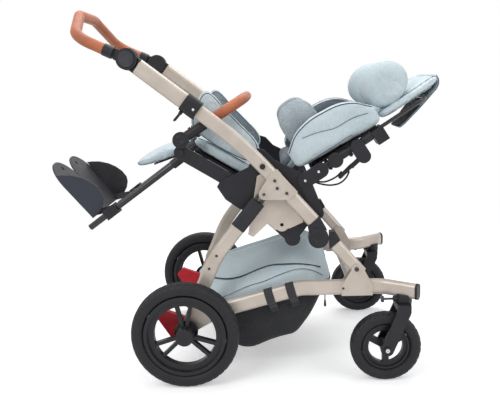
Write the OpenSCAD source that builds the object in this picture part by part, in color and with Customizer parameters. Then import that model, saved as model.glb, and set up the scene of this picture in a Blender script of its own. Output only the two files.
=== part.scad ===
/* [Layout] */
// Distance from the rear axle to the middle of the overall length
middle_x = 178.72; // [100:0.1:300]
// Half distance between the middles of the side frames
side_y = 230; // [215:1:280]
// Clear gap between pieces that move past or rest against each other
part_gap = 0.3; // [0.2:0.05:0.6]
// Radial clearance of a shaft turning or sliding in its hole
run_gap = 0.05; // [0.02:0.01:0.1]

/* [Rear wheels] */
// Diameter of a rear tyre
rear_d = 300; // [280:2:320]
// Width of a rear tyre
rear_tyre_w = 46; // [38:1:50]
// Radial depth of a rear tyre
rear_tyre_depth = 36; // [30:1:42]
// Radial depth of a rear rim
rear_rim_depth = 28; // [20:1:34]
// Width of a rear rim
rear_rim_w = 36; // [28:1:40]
// Half distance between the middles of the rear tyres
rear_y = 285; // [283:1:320]
// Diameter of a rear hub
rear_hub_d = 48; // [40:1:56]
// Length of a rear hub
rear_hub_l = 52; // [46:1:56]
// Width of a rear spoke
rear_spoke_w = 10; // [6:1:14]
// Depth of a rear spoke
rear_spoke_t = 16; // [10:1:24]
// Half angle between the two spokes of a pair
rear_spoke_half = 13; // [9:1:20]
// Diameter of the rear stub axle
stub_d = 12; // [10:0.5:16]
// Diameter of the tube between the rear wheels
axle_tube_d = 22; // [18:1:30]

/* [Castors] */
// Diameter of a castor tyre
castor_d = 195; // [180:1:204]
// Width of a castor tyre
castor_tyre_w = 44; // [36:1:48]
// Radial depth of a castor tyre
castor_tyre_depth = 33; // [26:1:38]
// Radial depth of a castor rim
castor_rim_depth = 17; // [12:1:22]
// Castor swivel axis, forward of the rear axle
stem_x = 604; // [580:1:612]
// Half distance between the castor swivel axes
stem_y = 266; // [262:1:280]
// Distance of the castor axle behind its swivel axis
castor_trail = 51; // [40:1:58]
// Thickness of a fork leg
fork_leg_t = 7; // [5:0.5:9]
// Width of a fork leg seen from the side
fork_leg_w = 36; // [28:1:40]
// Gap between the tyre and a fork leg
fork_side_gap = 6; // [4:0.5:10]
// Diameter of a castor axle bolt
castor_bolt_d = 10; // [8:0.5:12]
// Diameter of a castor stem
stem_d = 14; // [12:0.5:18]

/* [Side frames] */
// Depth of the base tube section
base_tube_h = 44; // [36:1:50]
// Width of the base tube section
base_tube_w = 24; // [20:1:28]
// Wall of every oval frame tube
tube_wall = 2; // [1.5:0.1:2.5]
// Rear end of the base tube, forward and up
base_rear_at = [60, 190]; // [20:1:240]
// Place where the base tube becomes level, forward and up
base_knee_at = [322, 258]; // [220:1:340]
// Front end of the base tube
base_front_x = 632; // [625:1:660]
// Length of the part of the base tube that bends out
base_flare_l = 82; // [70:1:95]
// Depth of the push tube section
push_tube_h = 40; // [34:1:46]
// Width of the push tube and leg sections
push_tube_w = 22; // [18:1:26]
// Depth of the front leg section
front_leg_h = 36; // [30:1:42]
// Handle hinge axis, forward and up
handle_at = [-119, 900]; // [-180:1:960]
// Place where the push tube bends, forward and up
push_corner_at = [180, 662]; // [120:1:720]
// Lower end of the push tube, forward and up
push_end_at = [362, 450]; // [330:1:480]
// Fold hub axis, forward and up
hub_at = [375, 403]; // [360:1:420]
// Diameter of the fold hub
hub_d = 56; // [48:1:60]
// Bolt of the front leg, forward and up
leg_bolt_at = [481, 310]; // [300:1:500]
// Upper end of the front leg, forward and up
leg_top_at = [420, 383]; // [370:1:430]
// Pivot of the rear strut on the push frame, forward and up
strut_at = [231, 530]; // [210:1:550]
// Slope of the rear strut above level
strut_slope = 51; // [46:0.5:56]
// Length of the strut between its pivot and the rear leg
strut_l = 122; // [100:1:140]
// Length of the ribbed strut sleeve
strut_sleeve_l = 92; // [60:1:100]
// Straight upper run of the rear leg
rear_leg_run = 104; // [80:1:130]
// Foot of the rear leg, forward and up
rear_leg_foot_at = [27, 218]; // [20:1:240]
// Thickness of the frame plates
plate_t = 3; // [2:0.5:4]
// Diameter of the frame bolts
bolt_d = 10; // [8:0.5:12]

/* [Handle] */
// Wall of the outer sliding tube
outer_wall = 1.8; // [1.4:0.1:2.4]
// Gap between the sliding tubes
slide_gap = 0.4; // [0.2:0.05:0.8]
// Distance from the handle hinge to the outer tube
outer_start = 33; // [31:1:45]
// Distance from the handle hinge to the lower end of the outer tube
outer_end = 225; // [200:1:240]
// Distance from the handle hinge to the upper end of the push tube
push_start = 102; // [98:1:120]
// Length of a height clamp
clamp_l = 46; // [36:1:60]
// Diameter of a handle hinge
hinge_d = 58; // [50:1:62]
// Diameter of the leather handle grip
grip_d = 30; // [26:1:36]
// Diameter of the handle bar inside the grip
bar_d = 22; // [16:1:24]
// Rear corner of the handle, forward and up
handle_corner_at = [-250, 962]; // [-300:1:1000]
// Top of the handle, forward and up
handle_top_at = [-280, 1032]; // [-340:1:1080]
// Half width of the level top of the handle
handle_top_y = 78; // [50:1:110]

/* [Seat] */
// Tilt axis of the seat, forward and up
tilt_at = [228, 605]; // [210:1:630]
// Recline axis of the backrest, forward and up
recline_at = [343, 558]; // [330:1:580]
// Hub of the bumper bar at the knee, forward and up
knee_at = [7, 680]; // [-20:1:710]
// Legrest axis at the front of the seat rail, forward and up
legrest_at = [4, 646]; // [-20:1:680]
// Rear end of the seat rail, forward and up
rail_end_at = [150, 555]; // [130:1:600]
// Depth of the seat rail
rail_h = 38; // [30:1:40]
// Width of the seat rail
rail_w = 12; // [8:1:12]
// Outer face of the seat side plates, from the middle
seat_plate_y = 208; // [206:0.5:209]
// Thickness of the seat side plates
seat_plate_t = 5; // [3:0.5:6]
// Length of the seat cushion
seat_l = 296; // [250:2:300]
// Half width of the seat cushion
seat_half_w = 166; // [140:1:168]
// Thickness of the seat cushion at its crown
seat_t = 42; // [34:1:46]
// Diameter of the knee hub
knee_d = 46; // [40:1:50]
// Diameter of the leather bumper bar
bumper_d = 29; // [24:1:30]
// Middle of the bumper bar, forward and up
bumper_at = [180, 786]; // [150:1:820]

/* [Legrest] */
// Slope of the foot tubes below level
foot_slope = 35; // [28:0.5:40]
// Diameter of a foot tube
foot_tube_d = 18; // [14:1:20]
// Length of a foot tube
foot_tube_l = 345; // [330:1:360]
// Half distance between the foot tubes
foot_y = 177; // [176:0.5:178]
// Distance from the upper end of a foot tube to the footplate axis
foot_pivot_l = 265; // [240:1:275]
// Length of the sole plate without its toe lobes
sole_l = 150; // [120:1:170]
// Half width of the sole plate
sole_half_w = 158; // [130:1:159]
// Thickness of the sole plate and its guards
sole_t = 5; // [3:0.5:6]
// Height of the side guards
guard_h = 68; // [40:1:80]
// Slope of the sole plate above level towards the toes
sole_slope = 50.5; // [40:0.5:60]
// Length of the calf pad
calf_l = 142; // [110:1:150]
// Thickness of the calf pad
calf_t = 34; // [24:1:38]
// Half width of the calf pad
calf_half_w = 125; // [90:1:130]

/* [Backrest] */
// Slope of the backrest above level
back_slope = 32; // [26:0.5:38]
// Diameter of a backrest tube
back_tube_d = 20; // [16:1:22]
// Half distance between the backrest tubes
back_tube_y = 186; // [184:0.5:188]
// Length of a backrest tube
back_tube_l = 218; // [200:1:240]
// Length of the back cushion
back_l = 264; // [230:2:266]
// Half width of the back cushion
back_half_w = 204; // [190:1:206]
// Height of the side wings at their crown
wing_h = 98; // [80:1:104]
// Thickness of a side wing
wing_t = 42; // [30:1:46]
// Thickness of the back cushion between its wings
back_t = 36; // [28:1:42]
// Distance from the recline axis to the headrest pad
head_start = 270; // [268:1:290]
// Length of the headrest pad
head_l = 212; // [190:2:220]
// Half width of the headrest pad
head_half_w = 150; // [130:1:160]
// Thickness of the headrest pad
head_t = 36; // [28:1:42]
// Diameter of a head roll
roll_d = 136; // [120:2:140]
// Length of a head roll across the seat
roll_w = 84; // [60:1:90]
// Diameter of the headrest frame rod
head_rod_d = 11; // [9:0.5:12]

/* [Basket] */
// Half width of the basket
basket_half_w = 194; // [170:1:198]
// Wall of the basket
basket_wall = 3; // [2:0.5:5]
// Length of the basket
basket_l = 396; // [360:2:400]
// Height of the basket
basket_h = 345; // [310:1:348]
// Lowest point of the basket above the floor
basket_low = 72; // [60:1:90]

/* [Hidden] */
$fn = 64;

// Colours of the finishes
champagne = "#d3c8bc";
black = "#2e2e35";
tyre_black = "#26262b";
fabric = "#b9c9cc";
spacer_mesh = "#8d999d";
leather = "#b4613d";
red = "#c61f2b";
steel = "#b9bcc0";
grey = "#6a6d75";

// Length by which a cut runs past the face it opens
over = 1;
// Fit of a plug pressed into a tube
plug_gap = 0.1;
// Length of a plug inside a tube
plug_l = 28;

// Unit vector at an angle in the side view
function ray(a) = [cos(a), sin(a)];
// Unit vector square to that, to its left
function left_of(a) = [-sin(a), cos(a)];
// Angle of the line from one side-view point to another
function heading(a, b) = atan2(b[1] - a[1], b[0] - a[0]);
// Angle brought between half a turn back and half a turn on
function wrapped(a) = a > 180 ? a - 360 : a < -180 ? a + 360 : a;
// Turn of a side-view path at its point i
function turn_at(p, i) = wrapped(heading(p[i], p[i + 1]) - heading(p[i - 1], p[i]));
// Length that a bend of radius r takes from the runs beside point i
function setback(p, i, r) = i == 0 || i == len(p) - 1 ? 0 : r * tan(abs(turn_at(p, i)) / 2);
// Side-view point at place y across the object
function lift(p, y) = [p[0], y, p[1]];
function unit(v) = v / norm(v);
// Power that keeps the sign, for rounded square sections
function spow(v, e) = sign(v) * pow(abs(v), e);
// Ring of m points round c, with half axes a and b, squarer as e falls below 1
function ring(c, a, b, e, m) =
  [for (j = [0:m - 1]) c + a * spow(cos(360 * j / m), e) + b * spow(sin(360 * j / m), e)];
// Rise from 0 to 1 over the first share w of a run, as a quarter circle
function nose(u, w) = u >= w ? 1 : sqrt(max(0, 1 - pow(1 - u / w, 2)));

// Children on both sides of the object
module both() {
  children();
  mirror([0, 1, 0]) children();
}
// Children on the left side, or mirrored to the right side
module on_side(s) {
  if (s > 0) children();
  else mirror([0, 1, 0]) children();
}
// Side-view outline made a plate of thickness t, centred on y
module in_side(y, t) {
  translate([0, y + t / 2, 0]) rotate([90, 0, 0]) linear_extrude(t) children();
}
// Round rod across the object, from y0 to y1
module cross_rod(p, y0, y1, d) {
  translate([p[0], y1, p[1]]) rotate([90, 0, 0]) cylinder(d = d, h = y1 - y0);
}
// Step from the round ends of a bar to its straight sides
link_step = 0.05;
// Outline of a bar with round ends
module link(p, q, d) {
  translate(p) circle(d = d);
  translate(q) circle(d = d);
  translate(p) rotate(heading(p, q)) translate([0, link_step - d / 2])
    square([norm(q - p), d - 2 * link_step]);
}
// Outline of a plate with round corners at three or more points
module web(p, d) {
  polygon(p);
  for (i = [0:len(p) - 1]) link(p[i], p[(i + 1) % len(p)], d);
}
// Flat oval section, depth along x and width along y
module oval(h, w) {
  square([h - w, w], center = true);
  for (s = [-1, 1]) translate([s * (h - w) / 2, 0]) circle(d = w);
}
module oval_ring(h, w, wall, g = 0) {
  difference() {
    oval(h + 2 * g, w + 2 * g);
    oval(h - 2 * wall - 2 * g, w - 2 * wall - 2 * g);
  }
}
// Half length and growth of the weld bead at a pipe joint
weld_half = 1;
weld = 0.1;
// Section carried straight between two side-view points
module run(p, q, y) {
  translate(lift(p, y)) rotate([0, 90 - heading(p, q), 0]) linear_extrude(norm(q - p)) children();
}
// Section carried round a side-view bend that starts at p with angle a
module bend(p, a, turn, r, y) {
  s = sign(turn);
  c = p + s * r * left_of(a);
  from = a - s * 90 + min(turn, 0);
  translate(lift(c, y)) rotate([90, 0, 0]) rotate(from) rotate_extrude(angle = abs(turn))
    translate([r, 0]) children();
}
// Section along a side-view path with bends of radius r, and a weld section at its joints
module side_pipe(p, r, y) {
  for (i = [0:len(p) - 2]) {
    u = unit(p[i + 1] - p[i]);
    run(p[i] + u * setback(p, i, r), p[i + 1] - u * setback(p, i + 1, r), y) children(0);
  }
  for (i = [1:len(p) - 2]) {
    a = heading(p[i - 1], p[i]);
    bend(p[i] - setback(p, i, r) * ray(a), a, turn_at(p, i), r, y) children(0);
    for (h = [[-1, a], [1, a + turn_at(p, i)]])
      run(
        p[i] + (h[0] * setback(p, i, r) - weld_half) * ray(h[1]),
        p[i] + (h[0] * setback(p, i, r) + weld_half) * ray(h[1]), y
      ) children(1);
  }
}
// Length that a bend takes from the runs beside point i of a path in space
function set3(p, i, r) =
  i == 0 || i == len(p) - 1
    ? 0
    : r * tan(acos(unit(p[i] - p[i - 1]) * unit(p[i + 1] - p[i])) / 2);
// Section carried straight on from a point in space
module run3(p, u, l) {
  translate(p) rotate([0, acos(u[2]), atan2(u[1], u[0])]) linear_extrude(l) children();
}
// Section along a path in space with bends of radius r, and a weld section at its joints
module pipe(p, r) {
  for (i = [0:len(p) - 2]) {
    u = unit(p[i + 1] - p[i]);
    l = norm(p[i + 1] - p[i]) - set3(p, i, r) - set3(p, i + 1, r);
    run3(p[i] + u * set3(p, i, r), u, l) children(0);
  }
  for (i = [1:len(p) - 2]) {
    u = unit(p[i] - p[i - 1]);
    v = unit(p[i + 1] - p[i]);
    n = unit(cross(u, v));
    e = -cross(n, u);
    c = p[i] - u * set3(p, i, r) - r * e;
    multmatrix([
      [e[0], u[0], n[0], c[0]],
      [e[1], u[1], n[1], c[1]],
      [e[2], u[2], n[2], c[2]],
      [0, 0, 0, 1]
    ]) rotate_extrude(angle = acos(u * v)) translate([r, 0]) children(0);
    run3(p[i] - u * (set3(p, i, r) + weld_half), u, 2 * weld_half) children(1);
    run3(p[i] + v * (set3(p, i, r) - weld_half), v, 2 * weld_half) children(1);
  }
}
// Closed skin over rings of equal count, with flat ends
module loft(rings) {
  n = len(rings);
  m = len(rings[0]);
  sides = [for (i = [0:n - 2], j = [0:m - 1]) let (k = (j + 1) % m) each [
    [i * m + j, (i + 1) * m + j, (i + 1) * m + k],
    [i * m + j, (i + 1) * m + k, i * m + k]
  ]];
  first = concat(
    [for (j = [0:m / 2 - 2]) [j, j + 1, m - j - 1]],
    [for (j = [1:m / 2 - 1]) [j, m - j - 1, m - j]]
  );
  last = [for (f = first) [for (k = [2, 1, 0]) f[k] + (n - 1) * m]];
  polyhedron(points = [for (r = rings) each r], faces = concat(sides, first, last));
}
// Placed about the rear axle, then moved so that the middle is the origin
module placed() {
  translate([-middle_x, 0, 0]) children();
}

// Rear wheels: a tyre on a moulded rim with three pairs of spokes
rear_r = rear_d / 2;
axle_at = [0, rear_r];
rear_rim_r = rear_r - rear_tyre_depth;
// Share of the rim depth taken by its wide outer band
rim_band_share = 0.36;
// Width of the narrow inner band of a rim, as a share of the rim
rim_lip_share = 0.6;
spoke_pairs = 3;
drum_d = 66;
drum_t = 7;
hub_cap_t = 6;
module rear_place(s) {
  on_side(s) translate(lift(axle_at, rear_y)) rotate([-90, 0, 0]) children();
}
module wheel_tyre(r, depth, w) {
  rotate_extrude($fn = 120) intersection() {
    translate([r - w / 2, 0]) circle(d = w);
    translate([r - depth + plug_gap, -w / 2]) square([depth, w]);
  }
}
module wheel_band(r, depth, w) {
  band = depth * rim_band_share;
  rotate_extrude($fn = 120) {
    translate([r - band, -w / 2]) square([band, w]);
    translate([r - depth, -w * rim_lip_share / 2]) square([depth - band / 2, w * rim_lip_share]);
  }
}
module rear_tyre(s) {
  color(tyre_black) rear_place(s) wheel_tyre(rear_r, rear_tyre_depth, rear_tyre_w);
}
module rear_rim(s) {
  spoke_l = rear_rim_r - rear_rim_depth * rim_band_share;
  color(black) rear_place(s) difference() {
    union() {
      wheel_band(rear_rim_r, rear_rim_depth, rear_rim_w);
      cylinder(d = rear_hub_d, h = rear_hub_l, center = true);
      for (k = [0:spoke_pairs - 1], h = [-1, 1])
        rotate(-90 + 360 * k / spoke_pairs + h * rear_spoke_half)
          translate([0, -rear_spoke_w / 2, -rear_spoke_t / 2])
            cube([spoke_l, rear_spoke_w, rear_spoke_t]);
      translate([0, 0, -rear_hub_l / 2]) cylinder(d = drum_d, h = drum_t);
    }
    translate([0, 0, -rear_hub_l / 2 - over])
      cylinder(d = stub_d + 2 * run_gap, h = rear_hub_l - hub_cap_t + over);
  }
}

// Rear axle: a tube, its stubs, and plates that clamp the side frames
base_slope = heading(base_rear_at, base_knee_at);
plate_out_y = side_y + base_tube_w / 2 + plate_t / 2;
plate_in_y = side_y - base_tube_w / 2 - plate_t / 2;
rear_plate_d = 36;
rear_clamp_l = 24;
leg_pin_d = 8;
leg_pin_up = 16;
rear_leg_top_at = strut_at - strut_l * ray(strut_slope);
rear_leg_corner_at = rear_leg_top_at - rear_leg_run * ray(strut_slope);
leg_pin_at = rear_leg_foot_at + leg_pin_up * ray(heading(rear_leg_foot_at, rear_leg_corner_at));
stub_end_y = rear_y + rear_hub_l / 2 - hub_cap_t - part_gap;
module rear_axle() {
  color(champagne) {
    cross_rod(axle_at, -plate_out_y, plate_out_y, axle_tube_d);
    both() {
      for (y = [plate_out_y, plate_in_y])
        in_side(y, plate_t)
          web([axle_at, base_rear_at + rear_clamp_l * ray(base_slope), leg_pin_at], rear_plate_d);
      cross_rod(axle_at, plate_in_y, stub_end_y, stub_d);
      cross_rod(leg_pin_at, plate_in_y, plate_out_y, leg_pin_d);
    }
  }
}

// Base tubes: they rise from the axle, run level and bend out to the castors
base_z = base_knee_at[1];
base_bend_r = 60;
flare_r = 90;
base_flare_x = base_front_x - base_flare_l;
flare_a = atan2(stem_y - side_y, stem_x - base_flare_x);
flare_set = flare_r * tan(flare_a / 2);
flare_l = (base_front_x - base_flare_x) / cos(flare_a) - flare_set;
cross_tube_d = 22;
cross_tube_at = [leg_bolt_at[0] - cross_tube_d / 2, base_z];
// Straight run of the outward part of the base tube, from s, l long
module flare_run(s, l) {
  translate([base_flare_x + s * cos(flare_a), side_y + s * sin(flare_a), base_z])
    rotate([0, 0, flare_a]) rotate([0, 90, 0]) linear_extrude(l) children();
}
module base_tubes() {
  color(champagne) {
    both() {
      side_pipe([base_rear_at, base_knee_at, [base_flare_x - flare_set, base_z]], base_bend_r, side_y) {
        oval_ring(base_tube_h, base_tube_w, tube_wall);
        oval_ring(base_tube_h, base_tube_w, tube_wall, weld);
      }
      translate([base_flare_x - flare_set, side_y + flare_r, base_z]) rotate(-90)
        rotate_extrude(angle = flare_a) translate([flare_r, 0]) rotate(90)
          oval_ring(base_tube_h, base_tube_w, tube_wall);
      flare_run(flare_set, flare_l) oval_ring(base_tube_h, base_tube_w, tube_wall);
      flare_run(flare_set - weld_half, 2 * weld_half)
        oval_ring(base_tube_h, base_tube_w, tube_wall, weld);
      translate([base_flare_x - flare_set - weld_half, side_y, base_z]) rotate([0, 90, 0])
        linear_extrude(2 * weld_half) oval_ring(base_tube_h, base_tube_w, tube_wall, weld);
    }
    cross_rod(
      cross_tube_at,
      -side_y + base_tube_w / 2 - tube_wall / 2,
      side_y - base_tube_w / 2 + tube_wall / 2,
      cross_tube_d
    );
  }
}

// Front fittings: castor sockets and tube end caps
socket_d = 42;
socket_drop = 12;
socket_low = base_z - base_tube_h / 2 - socket_drop;
socket_up = base_z - base_tube_h / 4;
cap_t = 7;
cap_rim = 1;
stem_depth = socket_drop - part_gap;
lock_rod_d = 6;
lock_boss_d = 16;
lock_z = socket_low + lock_boss_d / 2 + 2 * part_gap;
lock_boss_l = 30;
module front_fittings() {
  color(black) both() {
    difference() {
      union() {
        translate([stem_x, stem_y, socket_low]) cylinder(d = socket_d, h = socket_up - socket_low);
        translate([stem_x, stem_y, lock_z]) rotate([0, -90, 0])
          cylinder(d = lock_boss_d, h = lock_boss_l);
      }
      flare_run(flare_set, flare_l) oval(base_tube_h + 2 * plug_gap, base_tube_w + 2 * plug_gap);
      translate([stem_x, stem_y, socket_low - over])
        cylinder(d = stem_d + 2 * run_gap, h = stem_depth + 4 * part_gap + over);
      translate([stem_x - stem_d, stem_y, lock_z]) rotate([0, -90, 0])
        cylinder(d = lock_rod_d + 2 * run_gap, h = lock_boss_l);
    }
    translate([
      base_front_x, side_y + (base_front_x - base_flare_x) * tan(flare_a), base_z
    ]) rotate([0, 0, flare_a]) rotate([0, 90, 0]) {
      linear_extrude(cap_t) oval(base_tube_h + cap_rim, base_tube_w + cap_rim);
      translate([0, 0, -plug_l]) linear_extrude(plug_l)
        oval(base_tube_h - 2 * tube_wall - 2 * plug_gap, base_tube_w - 2 * tube_wall - 2 * plug_gap);
    }
  }
}

// Front brackets: riveted clevis plates for the front leg
bracket_l = 86;
bracket_low = base_z - base_tube_h / 2;
bracket_h = leg_bolt_at[1] - bracket_low;
bracket_shares = [[-0.52, 0], [-0.52, 0.4], [-0.18, 1.04], [0.19, 1.04], [0.48, 0.4], [0.48, 0]];
bracket_ear_d = 34;
rivet_d = 7;
rivet_t = 1.6;
rivet_shares = [-0.32, 0.3];
bolt_head_d = 15;
bolt_head_t = 4;
module front_brackets() {
  color(champagne) both() {
    difference() {
      for (y = [plate_out_y, plate_in_y]) in_side(y, plate_t) {
        polygon([for (s = bracket_shares)
          [leg_bolt_at[0] + s[0] * bracket_l, bracket_low + s[1] * bracket_h]]);
        translate(leg_bolt_at) circle(d = bracket_ear_d);
      }
      cross_rod(cross_tube_at, 0, plate_in_y + plate_t, cross_tube_d + 2 * part_gap);
    }
    cross_rod(leg_bolt_at, plate_in_y, plate_out_y + plate_t / 2 + bolt_head_t, bolt_d);
    cross_rod(
      leg_bolt_at, plate_out_y + plate_t / 2, plate_out_y + plate_t / 2 + bolt_head_t, bolt_head_d
    );
    for (s = rivet_shares)
      cross_rod(
        [leg_bolt_at[0] + s * bracket_l, base_z],
        plate_out_y + plate_t / 2, plate_out_y + plate_t / 2 + rivet_t, rivet_d
      );
  }
}

// Rear legs: curved oval tubes from the axle plates up to the struts
rear_leg_bend_r = 330;
module rear_legs() {
  color(champagne) both() difference() {
    side_pipe([rear_leg_foot_at, rear_leg_corner_at, rear_leg_top_at], rear_leg_bend_r, side_y) {
      oval_ring(push_tube_h, push_tube_w, tube_wall);
      oval_ring(push_tube_h, push_tube_w, tube_wall, weld);
    }
    cross_rod(
      leg_pin_at, side_y - push_tube_w, side_y + push_tube_w, leg_pin_d + 2 * run_gap
    );
  }
}

// Struts: sleeves on the rear legs, with twin rods up to the push frame
strut_rod_d = 9;
strut_rod_o = 9;
strut_bore_l = 44;
strut_eye_d = 28;
strut_eye_w = 16;
strut_sleeve_grow = 2;
module strut_sleeves() {
  top = rear_leg_top_at + strut_sleeve_l * ray(strut_slope);
  color(black) both() difference() {
    run(rear_leg_top_at, top, side_y)
      oval(push_tube_h + strut_sleeve_grow, push_tube_w - 2 * part_gap);
    for (o = [-strut_rod_o, strut_rod_o])
      run(
        top - strut_bore_l * ray(strut_slope) + o * left_of(strut_slope),
        top + over * ray(strut_slope) + o * left_of(strut_slope),
        side_y
      ) circle(d = strut_rod_d + 2 * run_gap);
  }
}
module strut_rods() {
  top = rear_leg_top_at + strut_sleeve_l * ray(strut_slope);
  color(steel) both() difference() {
    union() {
      for (o = [-strut_rod_o, strut_rod_o])
        run(
          top - (strut_bore_l - part_gap) * ray(strut_slope) + o * left_of(strut_slope),
          strut_at + o * left_of(strut_slope),
          side_y
        ) circle(d = strut_rod_d);
      cross_rod(strut_at, side_y - strut_eye_w / 2, side_y + strut_eye_w / 2, strut_eye_d);
    }
    cross_rod(strut_at, side_y - strut_eye_w, side_y + strut_eye_w, bolt_d + 2 * run_gap);
  }
}

// Push frame: curved oval tubes for the handle, the seat and the fold hubs
push_slope = heading(push_corner_at, push_end_at);
upper_slope = heading(handle_at, push_corner_at);
function on_push(s, o) = push_corner_at + s * ray(push_slope) + o * left_of(push_slope);
function on_upper(s, o) = handle_at + s * ray(upper_slope) + o * left_of(upper_slope);
push_bend_r = 1000;
module push_tubes() {
  color(champagne) both() difference() {
    side_pipe([on_upper(push_start, 0), push_corner_at, push_end_at], push_bend_r, side_y) {
      oval_ring(push_tube_h, push_tube_w, tube_wall);
      oval_ring(push_tube_h, push_tube_w, tube_wall, weld);
    }
    cross_rod(tilt_at, side_y - push_tube_w, side_y + push_tube_w, bolt_d + 2 * run_gap);
  }
}

// Gusset plates: outer plates with hooked tabs and the bolt of the strut
gusset_start = 106;
gusset_l = 84;
gusset_low = 8;
gusset_tab_l = 18;
gusset_ear_d = 32;
gusset_y = side_y + push_tube_w / 2 + plate_t / 2;
carrier_t = 4;
carrier_y = side_y - push_tube_w / 2 - carrier_t / 2;
module gusset_plates() {
  top = push_tube_h / 2 + plate_t;
  color(champagne) both() {
    in_side(gusset_y, plate_t) {
      polygon([
        on_push(gusset_start, top),
        on_push(gusset_start, -gusset_low),
        strut_at + gusset_ear_d / 2 * ray(145),
        strut_at + gusset_ear_d / 2 * ray(-90),
        on_push(gusset_start + gusset_l, -gusset_low),
        on_push(gusset_start + gusset_l, top)
      ]);
      translate(strut_at) circle(d = gusset_ear_d);
    }
    for (s = [gusset_start, gusset_start + gusset_l - gusset_tab_l])
      in_side(side_y + (push_tube_w / 2 + plate_t) / 2, push_tube_w / 2 + plate_t)
        polygon([
          on_push(s, push_tube_h / 2 + plug_gap),
          on_push(s + gusset_tab_l, push_tube_h / 2 + plug_gap),
          on_push(s + gusset_tab_l, top),
          on_push(s, top)
        ]);
    cross_rod(strut_at, carrier_y - carrier_t / 2, gusset_y + plate_t / 2 + bolt_head_t, bolt_d);
    cross_rod(
      strut_at, gusset_y + plate_t / 2, gusset_y + plate_t / 2 + bolt_head_t, bolt_head_d
    );
  }
}

// Carrier plates: plates under the push tubes with an open mounting hole
carrier_w = 160;
carrier_shares = [[-0.31, -0.73], [-0.12, 0.29]];
carrier_low_shares = [[0.65, -0.54], [0.42, -0.64], [0.16, -0.66], [0.04, -0.54], [-0.22, -0.78]];
carrier_from = 95;
carrier_to = 215;
carrier_hole_at = [276, 438];
carrier_ear_d = 38;
carrier_hole_d = 10;
module carrier_plates() {
  color(champagne) both() difference() {
    in_side(carrier_y, carrier_t) {
      polygon(concat(
        [for (s = carrier_shares) strut_at + carrier_w * s],
        [on_push(carrier_from, 0), on_push(carrier_to, 0)],
        [for (s = carrier_low_shares) strut_at + carrier_w * s]
      ));
      translate(carrier_hole_at) circle(d = carrier_ear_d);
    }
    for (at = [[carrier_hole_at, carrier_hole_d], [strut_at, bolt_d + 2 * run_gap]])
      cross_rod(at[0], carrier_y - carrier_t, carrier_y + carrier_t, at[1]);
  }
}

// Fold hubs: discs at the lower ends of the push tubes
hub_w = 30;
collar_w = push_tube_w + 2 * tube_wall;
hub_clear = 0.6;
hub_push_shares = [[0.42, 0.4], [-0.45, 0.22]];
hub_leg_shares = [[0.82, 0.32], [0.53, 0.3]];
module tube_plug(at, a, h, w, wall) {
  run(at - over * ray(a), at + plug_l * ray(a), side_y)
    oval(h - 2 * wall - 2 * plug_gap, w - 2 * wall - 2 * plug_gap);
}
module fold_hubs() {
  n = (push_tube_h / 2 + cap_rim) * left_of(push_slope);
  color(black) both() {
    cross_rod(hub_at, side_y - hub_w / 2, side_y + hub_w / 2, hub_d);
    in_side(side_y, collar_w)
      polygon([push_end_at + n, push_end_at - n,
        hub_at + hub_d * hub_push_shares[1], hub_at + hub_d * hub_push_shares[0]]);
    tube_plug(push_end_at, push_slope + 180, push_tube_h, push_tube_w, tube_wall);
  }
}

// Front legs and their collars, which close against the fold hubs
leg_slope = heading(leg_top_at, leg_bolt_at);
leg_over = 16;
module front_legs() {
  color(champagne) both() difference() {
    run(leg_top_at, leg_bolt_at + leg_over * ray(leg_slope), side_y)
      oval_ring(front_leg_h, push_tube_w, tube_wall);
    cross_rod(leg_bolt_at, side_y - push_tube_w, side_y + push_tube_w, bolt_d + 2 * run_gap);
  }
}
module leg_collars() {
  n = (front_leg_h / 2 + cap_rim) * left_of(leg_slope);
  color(black) both() {
    difference() {
      in_side(side_y, collar_w)
        polygon([leg_top_at + n, leg_top_at - n,
          hub_at + hub_d * hub_leg_shares[1], hub_at + hub_d * hub_leg_shares[0]]);
      cross_rod(hub_at, side_y - hub_w, side_y + hub_w, hub_d + 2 * hub_clear);
    }
    tube_plug(leg_top_at, leg_slope, front_leg_h, push_tube_w, tube_wall);
  }
}

// Outer tubes: they slide on the push tubes to set the handle height
outer_h = push_tube_h + 2 * slide_gap + 2 * outer_wall;
outer_w = push_tube_w + 2 * slide_gap + 2 * outer_wall;
module outer_tubes() {
  color(champagne) both() run(on_upper(outer_start, 0), on_upper(outer_end, 0), side_y)
    oval_ring(outer_h, outer_w, outer_wall);
}

// Height clamps at the foot of the outer tubes, each with a small lever
clamp_wall = 4.5;
clamp_lip = 5;
clamp_from = outer_end + clamp_lip - clamp_l;
clamp_ear_w = 8;
clamp_ear_d = 10;
clamp_pin_d = 4;
clamp_lever_at = on_upper(clamp_from + clamp_ear_d, -(outer_h / 2 + clamp_wall + clamp_ear_d / 2));
clamp_lever_l = 24;
clamp_lever_t = 6;
clamp_lever_w = 20;
clamp_lever_a = 228;
module height_clamps() {
  color(black) both() difference() {
    union() {
      run(on_upper(clamp_from, 0), on_upper(outer_end + clamp_lip, 0), side_y)
        oval(outer_h + 2 * clamp_wall, outer_w + 2 * clamp_wall);
      in_side(side_y, clamp_ear_w)
        link(clamp_lever_at, clamp_lever_at + clamp_ear_d * left_of(upper_slope), clamp_ear_d);
    }
    run(on_upper(clamp_from - over, 0), on_upper(outer_end, 0), side_y)
      oval(outer_h + 2 * plug_gap, outer_w + 2 * plug_gap);
    run(on_upper(outer_end - over, 0), on_upper(outer_end + clamp_lip + over, 0), side_y)
      oval(push_tube_h + 2 * slide_gap, push_tube_w + 2 * slide_gap);
    cross_rod(
      clamp_lever_at, side_y - clamp_ear_w, side_y + clamp_ear_w, clamp_pin_d + 2 * run_gap
    );
  }
}
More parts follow.
